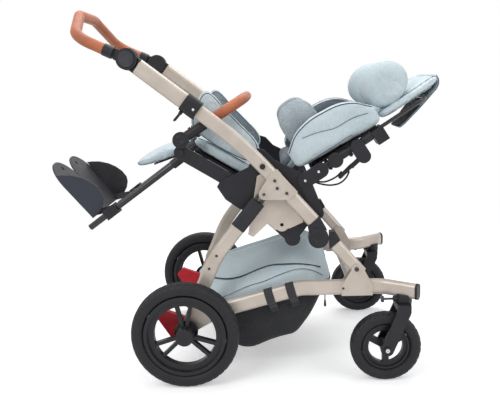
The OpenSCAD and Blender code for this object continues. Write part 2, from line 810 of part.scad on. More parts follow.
module clamp_lever(s) {
  color(black) on_side(s) {
    difference() {
      in_side(side_y, clamp_lever_w)
        link(clamp_lever_at, clamp_lever_at + clamp_lever_l * ray(clamp_lever_a), clamp_lever_t);
      cross_rod(
        clamp_lever_at, side_y - clamp_ear_w / 2 - part_gap, side_y + clamp_ear_w / 2 + part_gap,
        clamp_ear_d + 2 * part_gap
      );
    }
    cross_rod(
      clamp_lever_at, side_y - clamp_lever_w / 2, side_y + clamp_lever_w / 2, clamp_pin_d
    );
  }
}

// Handle hinges: fixed discs with a pin, plugged into the outer tubes
hinge_in_y = side_y - push_tube_w / 2 - plate_t - outer_wall;
hinge_mid_y = side_y - part_gap;
hinge_pin_d = 16;
hinge_disc_t = 16;
handle_disc_y = side_y + part_gap;
hinge_neck_from = 10;
handle_recess_t = 6;
handle_pin_end = handle_disc_y + hinge_disc_t - handle_recess_t - part_gap;
module handle_hinges() {
  neck_w = outer_h / 2 - outer_wall;
  color(black) both() {
    cross_rod(handle_at, hinge_in_y, hinge_mid_y, hinge_d);
    cross_rod(handle_at, hinge_in_y, handle_pin_end, hinge_pin_d);
    difference() {
      in_side(side_y, push_tube_w)
        polygon([
          on_upper(hinge_neck_from, -neck_w), on_upper(outer_start, -neck_w),
          on_upper(outer_start, neck_w), on_upper(hinge_neck_from, neck_w)
        ]);
      cross_rod(handle_at, hinge_mid_y, side_y + push_tube_w, hinge_d + 2 * part_gap);
    }
    tube_plug(on_upper(outer_start, 0), upper_slope, outer_h, outer_w, outer_wall);
  }
}

// Handle: turning discs, cuffs and one bent bar under a stitched grip
handle_slope = heading(handle_at, handle_corner_at);
handle_y = handle_disc_y + hinge_disc_t / 2 + cap_rim;
handle_neck_l = 26;
handle_bar_from = 44;
cuff_from = 38;
cuff_l = 26;
cuff_d = 33;
handle_bend_r = 60;
function handle_path(l) = concat(
  [lift(handle_at + l * ray(handle_slope), handle_y), lift(handle_corner_at, handle_y),
    lift(handle_top_at, handle_top_y)],
  [lift(handle_top_at, -handle_top_y), lift(handle_corner_at, -handle_y),
    lift(handle_at + l * ray(handle_slope), -handle_y)]
);
module handle_ends() {
  color(black) both() difference() {
    union() {
      cross_rod(handle_at, handle_disc_y, handle_disc_y + hinge_disc_t, hinge_d - 2 * cap_rim);
      in_side(handle_disc_y + hinge_disc_t / 2, hinge_disc_t)
        link(handle_at, handle_at + handle_neck_l * ray(handle_slope), grip_d);
      run(
        handle_at + cuff_from * ray(handle_slope),
        handle_at + (cuff_from + cuff_l) * ray(handle_slope), handle_y
      ) circle(d = cuff_d);
    }
    cross_rod(
      handle_at, handle_disc_y - over, handle_disc_y + hinge_disc_t, hinge_pin_d + 2 * run_gap
    );
    cross_rod(
      handle_at, handle_pin_end + part_gap, handle_disc_y + hinge_disc_t + over,
      handle_button_d + 2 * part_gap
    );
    run(
      handle_at + (handle_bar_from - plug_gap) * ray(handle_slope),
      handle_at + (cuff_from + cuff_l + over) * ray(handle_slope), handle_y
    ) circle(d = bar_d + 2 * plug_gap);
  }
}
module handle_bar() {
  color(steel) pipe(handle_path(handle_bar_from), handle_bend_r) {
    tube_ring(bar_d, bar_d - 2 * tube_wall);
    tube_ring(bar_d + 2 * weld, bar_d - 2 * tube_wall - 2 * weld);
  }
}
module handle_grip() {
  color(leather) pipe(handle_path(cuff_from + cuff_l + part_gap), handle_bend_r) {
    tube_ring(grip_d, bar_d + 4 * weld + 2 * plug_gap);
    tube_ring(grip_d + 2 * weld, bar_d + 2 * weld + 2 * plug_gap);
  }
}
module tube_ring(d, bore) {
  difference() {
    circle(d = d);
    circle(d = bore);
  }
}
handle_button_d = 42;
handle_button_travel = 2.5;
handle_button_rise = 3;
module handle_button(s) {
  y0 = handle_pin_end + handle_button_travel + 4 * part_gap;
  color(grey) on_side(s) cross_rod(
    handle_at, y0, handle_disc_y + hinge_disc_t + handle_button_rise, handle_button_d
  );
}

// Seat plates: they hang the seat on the push frame
seat_plate_l = 300;
seat_plate_shares = [
  [-0.427, -0.19], [-0.4, -0.143], [-0.133, -0.017], [-0.047, 0.157], [0.027, 0.133],
  [0.107, 0.043], [0.34, -0.08], [0.447, -0.217], [0.5, -0.45], [0.313, -0.69],
  [0.22, -0.735], [0.027, -0.55], [-0.077, -0.45], [-0.227, -0.403], [-0.353, -0.31]
];
seat_plate_ear_d = 44;
seat_plate_foot_at = [305, 396];
recline_pin_d = 12;
tilt_boss_d = 26;
module seat_plates() {
  in_y = seat_plate_y - seat_plate_t;
  out_y = side_y + push_tube_w / 2 + part_gap;
  color(black) both() {
    difference() {
      in_side(seat_plate_y - seat_plate_t / 2, seat_plate_t) {
        polygon([for (s = seat_plate_shares) tilt_at + seat_plate_l * s]);
        translate(recline_at) circle(d = seat_plate_ear_d);
        translate(seat_plate_foot_at) circle(d = seat_plate_ear_d);
      }
      cross_rod(recline_at, in_y - over, seat_plate_y + over, recline_pin_d + 2 * run_gap);
    }
    cross_rod(tilt_at, seat_plate_y, side_y - push_tube_w / 2 - part_gap, tilt_boss_d);
    cross_rod(tilt_at, in_y, out_y + bolt_head_t, bolt_d);
    cross_rod(tilt_at, out_y, out_y + bolt_head_t, bolt_head_d);
  }
}

// Seat rails with two bars across, and the board that lies on the bars
rail_slope = heading(legrest_at, rail_end_at);
function on_rail(s, o) = legrest_at + s * ray(rail_slope) + o * left_of(rail_slope);
rail_y = seat_plate_y - seat_plate_t - rail_w / 2;
legrest_pin_d = 12;
seat_bar_d = 14;
seat_bar_o = 6.7;
seat_bar_stations = [62, 150];
seat_board_from = 30;
seat_board_t = 6.5;
seat_board_o = seat_bar_o + seat_bar_d / 2 + part_gap;
seat_board_in = 8;
module seat_rails() {
  color(black) {
    both() difference() {
      in_side(rail_y, rail_w) link(legrest_at, rail_end_at, rail_h);
      cross_rod(legrest_at, rail_y - rail_w, rail_y + rail_w, legrest_pin_d + 2 * run_gap);
    }
    for (s = seat_bar_stations) cross_rod(on_rail(s, seat_bar_o), -rail_y, rail_y, seat_bar_d);
    run(
      on_rail(seat_board_from, seat_board_o + seat_board_t / 2),
      on_rail(seat_l, seat_board_o + seat_board_t / 2), 0
    ) square([seat_board_t, 2 * (seat_half_w - seat_board_in)], center = true);
  }
}

// Seat cushion: a padded leaf, rounded at the knee and drawn in at its edges
seat_front = 14;
seat_base_o = seat_board_o + seat_board_t + part_gap;
seat_rings = 15;
seat_ring_points = 32;
seat_square = 0.5;
seat_nose_share = 0.22;
seat_tail_share = 0.12;
seat_taper_share = 0.1;
module seat_cushion() {
  n = left_of(rail_slope);
  color(fabric) loft([for (i = [0:seat_rings]) let (
    u = i / seat_rings,
    thick = (0.2 + 0.8 * nose(u, seat_nose_share)) * (0.4 + 0.6 * nose(1 - u, seat_tail_share)),
    wide = 1 - seat_taper_share * (1 - nose(u, 2 * seat_nose_share)),
    c = on_rail(seat_front + u * seat_l, seat_base_o + seat_t / 2)
  ) ring(
    lift(c, 0), [0, seat_half_w * wide, 0], lift(n, 0) * seat_t / 2 * thick, seat_square, seat_ring_points
  )]);
}

// Side panels: padded wings that stand on the seat beside the thighs
panel_l = 320;
panel_shares = [
  [-0.05, 0.03], [-0.09, 0.14], [-0.11, 0.29], [-0.07, 0.335], [0.02, 0.32], [0.14, 0.28],
  [0.33, 0.235], [0.53, 0.19], [0.6, 0.12], [0.58, 0.02], [0.4, 0], [0.15, 0]
];
panel_mid_share = [0.24, 0.14];
panel_y = 151;
panel_t = 26;
panel_seat_o = seat_base_o + seat_t / 2 * (1 + sqrt(sqrt(1 - pow(panel_y / seat_half_w, 4)))) + part_gap;
panel_rings = 6;
// Closed outline with its corners cut twice into a smooth curve
function cut_corners(p) = [for (i = [0:len(p) - 1]) let (q = p[(i + 1) % len(p)]) each [
  0.75 * p[i] + 0.25 * q, 0.25 * p[i] + 0.75 * q
]];
function smooth(p) = cut_corners(cut_corners(p));
// Rings of a padded slab from an outline about its middle
function slab_rings(p, mid, y, t, n, edge) = [for (i = [0:n]) let (
  v = 1 - 2 * i / n,
  f = 1 - edge * (1 - pow(max(0, 1 - pow(abs(v), 2.6)), 0.5))
) [for (q = p) lift(mid + f * (q - mid), y + v * t / 2)]];
module side_panels() {
  shape = [for (s = smooth(panel_shares))
    on_rail(panel_l * s[0], panel_seat_o + panel_l * s[1])];
  mid = on_rail(panel_l * panel_mid_share[0], panel_seat_o + panel_l * panel_mid_share[1]);
  color(fabric) both() loft(slab_rings(reversed(shape), mid, panel_y, panel_t, panel_rings, 0.16));
}
function reversed(p) = [for (i = [len(p) - 1:-1:0]) p[i]];

// Knee hubs: discs on the rail fronts with sockets for the bumper bar
bumper_slope = heading(knee_at, bumper_at);
knee_y0 = rail_y + rail_w / 2 + part_gap;
knee_y1 = seat_plate_y + plate_t + part_gap;
bumper_y = 196;
bumper_socket_d = 28;
socket_from = 18;
socket_to = 80;
spigot_from = 50;
spigot_d = 16;
bumper_button_at = 36;
bumper_button_d = 8;
bumper_button_o = 10;
bumper_button_rise = 3;
bumper_button_travel = 2;
function on_bumper(s, o) = knee_at + s * ray(bumper_slope) + o * left_of(bumper_slope);
module knee_hubs() {
  color(black) both() difference() {
    union() {
      cross_rod(knee_at, knee_y0, knee_y1, knee_d);
      run(on_bumper(socket_from, 0), on_bumper(socket_to, 0), bumper_y) circle(d = bumper_socket_d);
    }
    run(on_bumper(spigot_from - part_gap, 0), on_bumper(socket_to + over, 0), bumper_y)
      circle(d = spigot_d + 2 * run_gap);
    run(
      on_bumper(bumper_button_at, bumper_button_o - bumper_button_travel - part_gap),
      on_bumper(bumper_button_at, bumper_socket_d), bumper_y
    ) circle(d = bumper_button_d + 2 * run_gap);
  }
}
bumper_bend_r = 70;
module bumper_bar() {
  start = on_bumper(socket_to + part_gap, 0);
  color(leather) {
    pipe(
      [lift(start, bumper_y), lift(bumper_at, bumper_y), lift(bumper_at, -bumper_y),
        lift(start, -bumper_y)],
      bumper_bend_r
    ) {
      circle(d = bumper_d);
      circle(d = bumper_d + 2 * weld);
    }
    both() run(on_bumper(spigot_from, 0), on_bumper(socket_to + over, 0), bumper_y) circle(d = spigot_d);
  }
}
module bumper_button(s) {
  color(red) on_side(s) run(
    on_bumper(bumper_button_at, bumper_button_o),
    on_bumper(bumper_button_at, bumper_socket_d / 2 + bumper_button_rise), bumper_y
  ) circle(d = bumper_button_d);
}

// Legrest hangers: they turn on the rail fronts and hold the foot tubes
foot_a = 180 + foot_slope;
foot_drop = 14;
function on_foot(s, o) = legrest_at + s * ray(foot_a) + (foot_drop + o) * left_of(foot_a);
calf_a = 180 + 18;
function on_calf(s, o) = legrest_at + s * ray(calf_a) + o * left_of(calf_a);
hanger_d = 34;
hanger_y = rail_y - rail_w / 2 - part_gap;
hanger_w = 18;
hanger_socket_l = 44;
hanger_socket_d = 26;
hanger_bar_d = 16;
legrest_knob_d = 17;
legrest_knob_t = 6;
calf_low = 12;
calf_plate_t = 4;
calf_plate_w = 120;
calf_tab_w = 40;
calf_plate_from = 4;
calf_plate_to = 112;
module legrest_hangers() {
  color(black) {
    both() difference() {
      union() {
        in_side(hanger_y - hanger_w / 2, hanger_w) link(legrest_at, on_foot(0, 0), hanger_d);
        run(on_foot(-hanger_socket_d / 4, 0), on_foot(hanger_socket_l, 0), foot_y)
          circle(d = hanger_socket_d);
        cross_rod(legrest_at, hanger_y - hanger_w, knee_y0 + legrest_knob_t, legrest_pin_d);
        cross_rod(legrest_at, knee_y0, knee_y0 + legrest_knob_t, legrest_knob_d);
      }
      run(on_foot(0, 0), on_foot(hanger_socket_l + over, 0), foot_y)
        circle(d = foot_tube_d + 2 * run_gap);
    }
    cross_rod(legrest_at, hanger_w - part_gap - hanger_y, hanger_y - hanger_w + part_gap, hanger_bar_d);
    run(
      on_calf(calf_plate_from, calf_low + calf_plate_t / 2 + part_gap),
      on_calf(calf_plate_to, calf_low + calf_plate_t / 2 + part_gap), 0
    ) square([calf_plate_t, calf_plate_w], center = true);
    in_side(0, calf_tab_w)
      link(legrest_at, on_calf(calf_plate_from, calf_low + calf_plate_t / 2 + part_gap), calf_plate_t);
  }
}

// Calf pad: a rounded pad that thins towards its free edge
calf_from = 14;
calf_rings = 11;
calf_ring_points = 28;
calf_square = 0.5;
module calf_pad() {
  n = left_of(calf_a);
  color(fabric) loft([for (i = [0:calf_rings]) let (
    u = i / calf_rings,
    thick = 0.12 + 0.88 * nose(u, 0.25) * nose(1 - u, 0.7),
    wide = 0.86 + 0.14 * nose(u, 0.3) * nose(1 - u, 0.4),
    c = on_calf(calf_from + u * calf_l, calf_low - calf_t / 2)
  ) ring(
    lift(c, 0), [0, calf_half_w * wide, 0], lift(n, 0) * calf_t / 2 * thick, calf_square, calf_ring_points
  )]);
}

// Foot tubes, and the clamps that slide on them with a bar across
module foot_tubes() {
  color(black) both() run(on_foot(part_gap, 0), on_foot(foot_tube_l, 0), foot_y) difference() {
    circle(d = foot_tube_d);
    circle(d = foot_tube_d - 2 * tube_wall);
  }
}
foot_clamp_l = 42;
foot_clamp_w = 30;
foot_bar_d = 16;
foot_pivot_at = on_foot(foot_pivot_l, 0);
module foot_clamps() {
  color(black) {
    both() run(
      on_foot(foot_pivot_l - foot_clamp_l / 2, 0), on_foot(foot_pivot_l + foot_clamp_l / 2, 0), foot_y
    ) difference() {
      square([foot_clamp_w, foot_clamp_w], center = true);
      circle(d = foot_tube_d + 2 * run_gap);
    }
    cross_rod(
      foot_pivot_at, -foot_y + foot_clamp_w / 2 - over, foot_y - foot_clamp_w / 2 + over, foot_bar_d
    );
  }
}

// Footplate: a sole with two toe lobes, side guards and lugs round the bar
heel_on = 59;
heel_up = 17;
sole_a = 180 - sole_slope;
heel_at = foot_pivot_at + heel_on * ray(foot_a) - heel_up * left_of(foot_a);
toe_hole_d = 14;
toe_hole_share = [1.14, 0.43];
lug_y = 120;
lug_t = 10;
lug_d = 26;
guard_t = 4;
guard_shares = [
  [0.005, 0], [0.01, 0.35], [0.06, 0.62], [0.14, 0.85], [0.24, 0.98], [0.4, 1], [0.56, 0.92], [0.72, 0.76],
  [0.88, 0.5], [1, 0.2], [1.06, 0]
];
module footplate() {
  lobe = sole_half_w;
  color(black) difference() {
    union() {
      translate(lift(heel_at, 0)) rotate([0, -sole_a, 0]) {
        translate([0, -sole_half_w, 0]) cube([sole_l - lobe / 5, 2 * sole_half_w, sole_t]);
        for (s = [-1, 1]) {
          translate([sole_l - lobe / 5, s * lobe / 2, 0]) cylinder(d = lobe, h = sole_t);
          translate([0, s * (sole_half_w - guard_t / 2) - guard_t / 2, 0]) rotate([-90, 0, 0])
            linear_extrude(guard_t)
              polygon([for (g = guard_shares) [g[0] * sole_l, g[1] * guard_h]]);
        }
      }
      both() in_side(lug_y, lug_t) link(foot_pivot_at, heel_at + lug_d / 3 * ray(sole_a), lug_d / 1.5);
      both() in_side(lug_y, lug_t) translate(foot_pivot_at) circle(d = lug_d);
    }
    cross_rod(foot_pivot_at, -sole_half_w, sole_half_w, foot_bar_d + 2 * run_gap);
    translate(lift(heel_at, 0)) rotate([0, -sole_a, 0])
      for (s = [-1, 1])
        translate([toe_hole_share[0] * sole_l, s * toe_hole_share[1] * sole_half_w, -over])
          cylinder(d = toe_hole_d, h = sole_t + 2 * over);
  }
}

// Backrest frame: tubes, bars, hinge plates and shaft
function on_back(s, h) = recline_at + s * ray(back_slope) + h * left_of(back_slope);
back_from = 30;
back_bar_d = 12;
back_bar_o = -13;
back_bar_stations = [78, 144];
recline_plate_t = 4;
recline_plate_y = seat_plate_y + part_gap + recline_plate_t / 2;
recline_arm_d = 42;
recline_arm_l = 52;
recline_limb_d = 32;
recline_limb = [34, -92];
recline_shaft_d = 18;
anchor_y = -160;
anchor_d = 24;
anchor_w = 26;
module back_frame() {
  shaft_y = seat_plate_y - seat_plate_t - part_gap;
  color(black) {
    both() {
      run(on_back(back_from, 0), on_back(back_from + back_tube_l, 0), back_tube_y) circle(d = back_tube_d);
      in_side(recline_plate_y, recline_plate_t) {
        link(recline_at, on_back(recline_arm_l, 0), recline_arm_d);
        link(recline_at, recline_at + recline_limb, recline_limb_d);
      }
      cross_rod(
        on_back(recline_arm_l, 0), back_tube_y, recline_plate_y + recline_plate_t / 2, recline_shaft_d
      );
      cross_rod(recline_at, 0, recline_plate_y + recline_plate_t / 2, recline_pin_d);
    }
    cross_rod(recline_at, -shaft_y, shaft_y, recline_shaft_d);
    cross_rod(recline_at, anchor_y - anchor_w / 2, anchor_y + anchor_w / 2, anchor_d);
    for (s = back_bar_stations) {
      cross_rod(on_back(s, back_bar_o), -back_tube_y, back_tube_y, back_bar_d);
      both() cross_rod(
        on_back(s, back_bar_o / 2), back_tube_y - back_tube_d / 2, back_tube_y, back_bar_d
      );
    }
  }
}
back_board_t = 6;
back_board_in = 14;
back_board_o = back_tube_d / 2 + part_gap;
module back_board() {
  mid = back_board_o + back_board_t / 2;
  color(black) run(on_back(back_from, mid), on_back(back_l - back_tube_d, mid), 0)
    square([back_board_t, 2 * (back_tube_y - back_board_in)], center = true);
}

// Back cushion: a padded shell with deep leaf-shaped wings
back_base_o = back_board_o + back_board_t + part_gap;
back_base_rise = 15;
back_lip = 1;
// Height of the cushion's underside over the board
function back_base_h(s) = back_base_o + back_base_rise * max(0, 1 - s / (back_l - back_tube_d));
back_rings = 13;
wing_shares = [
  [0, 0.34], [0.05, 0.56], [0.17, 0.84], [0.39, 1], [0.7, 0.97], [0.86, 0.8], [0.95, 0.55], [1, 0.3]
];
// Section of the shell as a closed outline, across and up
function shell_section(w, wt, bt, hh) = [
  [wt / 2 - w, hh + wt / 8], [-w, hh], [-w, hh / 2], [-w, 0], [-w / 2, 0], [0, 0], [w / 2, 0], [w, 0], [w, hh / 2],
  [w, hh], [w - wt / 2, hh + wt / 8], [w - wt, hh], [w - wt, (hh + bt) / 2], [w - wt, bt], [w / 2, bt], [0, bt],
  [-w / 2, bt], [wt - w, bt], [wt - w, (hh + bt) / 2], [wt - w, hh]
];
module back_cushion() {
  n = left_of(back_slope);
  color(fabric) loft([for (i = [0:back_rings]) let (
    u = i / back_rings,
    full = nose(u, 0.14) * nose(1 - u, 0.1),
    bt = back_t * (0.3 + 0.7 * full),
    hh = max(bt + back_lip, wing_h * lookup(u, wing_shares) + back_t / 4),
    w = back_half_w * (0.95 + 0.05 * full),
    c = on_back(u * back_l, back_base_h(u * back_l) + back_t / 3 * (1 - full))
  ) [for (q = smooth(shell_section(w, wing_t, bt, hh))) lift(c + q[1] * n, q[0])]]);
}

// Trunk pads: rounded side supports that stand on the back cushion
trunk_s = 76;
trunk_half = [56, 66.8];
trunk_at = [trunk_s, back_base_h(trunk_s) + back_t + 2 * part_gap + trunk_half[1]];
trunk_y = 133;
trunk_t = 32;
trunk_rings = 6;
trunk_points = 36;
trunk_square = 0.75;
module trunk_pads() {
  shape = [for (j = [0:trunk_points - 1]) let (t = 360 * j / trunk_points) on_back(
    trunk_at[0] + trunk_half[0] * spow(cos(t), trunk_square),
    trunk_at[1] + trunk_half[1] * spow(sin(t), trunk_square)
  )];
  color(spacer_mesh) both() loft(
    slab_rings(shape, on_back(trunk_at[0], trunk_at[1]), trunk_y, trunk_t, trunk_rings, 0.2)
  );
}

// Clamps on the back tubes: sleeves, disc knobs, head clamps and the lever arm
sleeve_d = 25;
sleeve_l = 26;
sleeve_stations = [124, 204];
back_knob_s = 100;
back_knob_d = 42;
back_knob_y = 206;
back_knob_t = 6;
back_knob_stub_d = 12;
big_clamp_s = 170;
big_clamp_o = -2;
big_clamp_drop = 34;
big_clamp_d = 38;
big_clamp_w = 32;
big_clamp_y = 188;
head_clamp_s = 238;
head_clamp_l = 34;
head_rod_y = 150;
head_clamp_low = 32;
head_clamp_up = 9;
head_clamp_in = 10;
lever_at = [129, -41];
lever_arm_d = 12;
lever_pin_d = 6;
lever_y = -186;
lever_w = 8;
module tube_collar(s, l, d) {
  run(on_back(s - l / 2, 0), on_back(s + l / 2, 0), back_tube_y) difference() {
    circle(d = d);
    circle(d = back_tube_d + 2 * run_gap);
  }
}
module back_clamps() {
  mid = (head_clamp_up - head_clamp_low) / 2;
  in_y = head_rod_y - head_clamp_in;
  out_y = back_tube_y + back_tube_d / 2 + plate_t;
  color(black) {
    both() {
      for (s = sleeve_stations) tube_collar(s, sleeve_l, sleeve_d);
      tube_collar(back_knob_s, sleeve_l / 2, sleeve_d);
      cross_rod(
        on_back(back_knob_s, 0), back_tube_y + back_tube_d / 2 + plug_gap, back_knob_y, back_knob_stub_d
      );
      cross_rod(on_back(back_knob_s, 0), back_knob_y - back_knob_t, back_knob_y, back_knob_d);
      difference() {
        in_side(big_clamp_y, big_clamp_w)
          link(on_back(big_clamp_s, big_clamp_o), on_back(big_clamp_s, -big_clamp_drop), big_clamp_d);
        run(on_back(0, 0), on_back(back_l, 0), back_tube_y) circle(d = back_tube_d + 2 * run_gap);
      }
      difference() {
        run(
          on_back(head_clamp_s - head_clamp_l / 2, mid), on_back(head_clamp_s + head_clamp_l / 2, mid),
          (in_y + out_y) / 2
        ) square([head_clamp_up + head_clamp_low, out_y - in_y], center = true);
        run(on_back(0, 0), on_back(2 * back_l, 0), back_tube_y)
          circle(d = back_tube_d + 2 * run_gap);
        run(on_back(0, 0), on_back(2 * back_l, 0), head_rod_y) circle(d = head_rod_d + 2 * run_gap);
      }
    }
    difference() {
      in_side(lever_y, lever_w) link(
        on_back(big_clamp_s, -big_clamp_drop), on_back(lever_at[0], lever_at[1]), lever_arm_d
      );
      cross_rod(
        on_back(lever_at[0], lever_at[1]), lever_y - lever_w, lever_y + lever_w, lever_pin_d + 2 * run_gap
      );
    }
  }
}

// Recline lever on the right, and its two cables to the hinge shaft
recline_lever_to = [86, -50];
recline_lever_d = 11;
recline_lever_w = 6;
module recline_lever() {
  y = lever_y + lever_w / 2 + part_gap + recline_lever_w / 2;
  color(black) {
    in_side(y, recline_lever_w)
      link(on_back(lever_at[0], lever_at[1]), on_back(recline_lever_to[0], recline_lever_to[1]), recline_lever_d);
    cross_rod(on_back(lever_at[0], lever_at[1]), lever_y - lever_w / 2 - plate_t, y, lever_pin_d);
    cross_rod(
      on_back(lever_at[0], lever_at[1]), lever_y - lever_w / 2 - plate_t, lever_y - lever_w / 2 - part_gap,
      2 * lever_pin_d
    );
  }
}
cable_d = 5;
cable_ys = [-167, -153];
cable_points = 8;
cable_shares = [
  [[0.98, -0.42], [0.8, -0.46], [0.6, -0.45], [0.42, -0.4], [0.26, -0.28], [0.084, -0.09]],
  [[1.16, -0.56], [1, -0.66], [0.78, -0.7], [0.54, -0.62], [0.3, -0.42], [0.066, -0.104]]
];
cable_l = 100;
module recline_cables() {
  color(black) for (k = [0, 1]) {
    p = [for (s = cable_shares[k]) on_back(cable_l * s[0], cable_l * s[1])];
    loft([for (i = [0:len(p) - 1]) let (
      a = heading(p[max(0, i - 1)], p[min(len(p) - 1, i + 1)]),
      c = lift(p[i], cable_ys[k])
    ) ring(c, [0, cable_d / 2, 0], lift(left_of(a), 0) * cable_d / 2, 1, cable_points)]);
  }
}

// Headrest: a bent rod and plate, a pad, two side rolls and a flap
head_rod_from = 150;
head_rod_to = 402;
head_rod_bend_r = 25;
head_plate_l = 70;
head_plate_w = 130;
head_plate_o = 9;
head_plate_t = 6;
module head_frame() {
  a = on_back(head_rod_from, 0);
  b = on_back(head_rod_to, 0);
  mid = head_rod_d / 2 + head_plate_t / 2 - plug_gap;
  color(black) {
    pipe([lift(a, head_rod_y), lift(b, head_rod_y), lift(b, -head_rod_y), lift(a, -head_rod_y)], head_rod_bend_r) {
      circle(d = head_rod_d);
      circle(d = head_rod_d + 2 * weld);
    }
    run(on_back(head_rod_to - head_plate_l, mid), on_back(head_rod_to + head_plate_o, mid), 0)
      square([head_plate_t, head_plate_w], center = true);
  }
}
head_base_o = head_rod_d / 2 + head_plate_t + part_gap;
head_rings = 12;
head_ring_points = 32;
roll_s = 334;
roll_half_h = 60;
roll_y = 117;
// Height of the head pad's upper face at y
function head_top_h(y) = head_base_o + head_t / 2 * (1 + pow(1 - pow(y / head_half_w, 4), 0.25));
roll_at = [roll_s, head_top_h(roll_y) + 2 * part_gap + roll_half_h];
roll_rings = 8;
roll_points = 28;
flap_half_w = 118;
flap_t = 8;
flap_shares = [
  [1.018, 0.05], [1.02, -0.05], [0.97, -0.14], [0.85, -0.17], [0.65, -0.2], [0.4, -0.23], [0.17, -0.25]
];
module headrest_pads() {
  n = left_of(back_slope);
  color(fabric) {
    loft([for (i = [0:head_rings]) let (
      u = i / head_rings,
      thick = 0.2 + 0.8 * nose(u, 0.12) * nose(1 - u, 0.16),
      wide = 0.82 + 0.18 * nose(u, 0.14) * nose(1 - u, 0.5),
      c = on_back(head_start + u * head_l, head_base_o + head_t / 2)
    ) ring(
      lift(c, 0), [0, head_half_w * wide, 0], lift(n, 0) * head_t / 2 * thick, 0.5, head_ring_points
    )]);
    both() loft([for (i = [0:roll_rings]) let (
      v = 2 * i / roll_rings - 1,
      f = 0.25 + 0.75 * pow(max(0, 1 - pow(abs(v), 2.4)), 0.5),
      c = on_back(roll_at[0], roll_at[1])
    ) ring(
      lift(c, roll_y + v * roll_w / 2), lift(n, 0) * roll_half_h * f,
      lift(ray(back_slope), 0) * roll_d / 2 * f, 0.95, roll_points
    )]);
    p = [for (s = flap_shares) on_back(head_start + head_l * s[0], head_base_o + head_t / 2 + head_l * s[1])];
    loft([for (i = [0:len(p) - 1]) let (
      a = heading(p[max(0, i - 1)], p[min(len(p) - 1, i + 1)])
    ) ring(
      lift(p[i], 0), [0, flap_half_w, 0], lift(left_of(a), 0) * flap_t / 2, 0.3, head_ring_points
    )]);
  }
}

// Basket: an open fabric bag hung between the base tubes on four strap loops
basket_rim_shares = [
  [0, 0.681], [0.25, 0.809], [0.635, 0.968], [0.78, 1], [0.85, 0.983], [0.94, 0.832], [1, 0.609]
];
basket_floor_shares = [
  [0.92, 0.435], [0.81, 0.191], [0.727, 0.107], [0.62, 0.099], [0.48, 0.006], [0.33, 0], [0.22, 0.24]
];
basket_rear_x = 15;
strap_stations = [182, 244];
strap_l = 24;
strap_t = 2.4;
function basket_at(s) = [basket_rear_x + s[0] * basket_l, basket_low + s[1] * basket_h];
function on_base(s, o) = base_rear_at + s * ray(base_slope) + o * left_of(base_slope);
module basket() {
  mid = basket_at([0.5, 0.5]);
  shrink = 1 - 2 * basket_wall / basket_h;
  strap_in = basket_half_w - basket_wall / 2;
  strap_out = side_y - base_tube_w / 2 - part_gap;
  color(fabric) {
    difference() {
      in_side(0, 2 * basket_half_w)
        polygon([for (s = concat(basket_rim_shares, basket_floor_shares)) basket_at(s)]);
      in_side(0, 2 * (basket_half_w - basket_wall)) polygon(concat(
        [for (s = basket_rim_shares) [mid[0] + shrink * (basket_at(s)[0] - mid[0]), basket_at(s)[1] + basket_wall]],
        [for (s = basket_floor_shares) mid + shrink * (basket_at(s) - mid)]
      ));
    }
    both() for (s = strap_stations) {
      run(on_base(s - strap_l / 2, 0), on_base(s + strap_l / 2, 0), side_y) oval_ring(
        base_tube_h + 2 * part_gap + 2 * strap_t, base_tube_w + 2 * part_gap + 2 * strap_t, strap_t
      );
      run(on_base(s - strap_l / 2, 0), on_base(s + strap_l / 2, 0), (strap_in + strap_out) / 2)
        square([strap_t, strap_out - strap_in - strap_t / 2], center = true);
    }
  }
}

// Castors: solid wheels in turning forks, each with a pull-out lock
castor_r = castor_d / 2;
castor_at = [stem_x - castor_trail, castor_r];
castor_rim_r = castor_r - castor_tyre_depth;
castor_hub_d = 34;
castor_spoke_w = 18;
castor_spokes = 3;
castor_spoke_share = 0.6;
castor_nut_d = 17;
castor_nut_t = 5;
fork_leg_y = castor_tyre_w / 2 + fork_side_gap + fork_leg_t / 2;
crown_t = 18;
crown_d = 40;
crown_top = socket_low - part_gap;
fork_top_at = [stem_x - crown_d / 8, crown_top - fork_leg_w / 2];
lock_disc_d = 18;
lock_disc_t = 7;
lock_rod_from = 15;
lock_rod_to = 56;
module castor_place(s) {
  on_side(s) translate(lift(castor_at, stem_y)) rotate([-90, 0, 0]) children();
}
module castor_tyre(s) {
  color(tyre_black) castor_place(s) wheel_tyre(castor_r, castor_tyre_depth, castor_tyre_w);
}
module castor_rim(s) {
  hub_l = castor_tyre_w + fork_side_gap;
  color(black) castor_place(s) difference() {
    union() {
      wheel_band(castor_rim_r, castor_rim_depth, castor_tyre_w * castor_spoke_share);
      cylinder(d = castor_hub_d, h = hub_l, center = true);
      for (k = [0:castor_spokes - 1])
        rotate(90 + 360 * k / castor_spokes)
          translate([0, -castor_spoke_w / 2, -castor_tyre_w * castor_spoke_share / 4])
            cube([
              castor_rim_r - castor_rim_depth / 2, castor_spoke_w,
              castor_tyre_w * castor_spoke_share / 2
            ]);
    }
    cylinder(d = castor_bolt_d + 2 * run_gap, h = castor_tyre_w + 2 * fork_side_gap, center = true);
  }
}
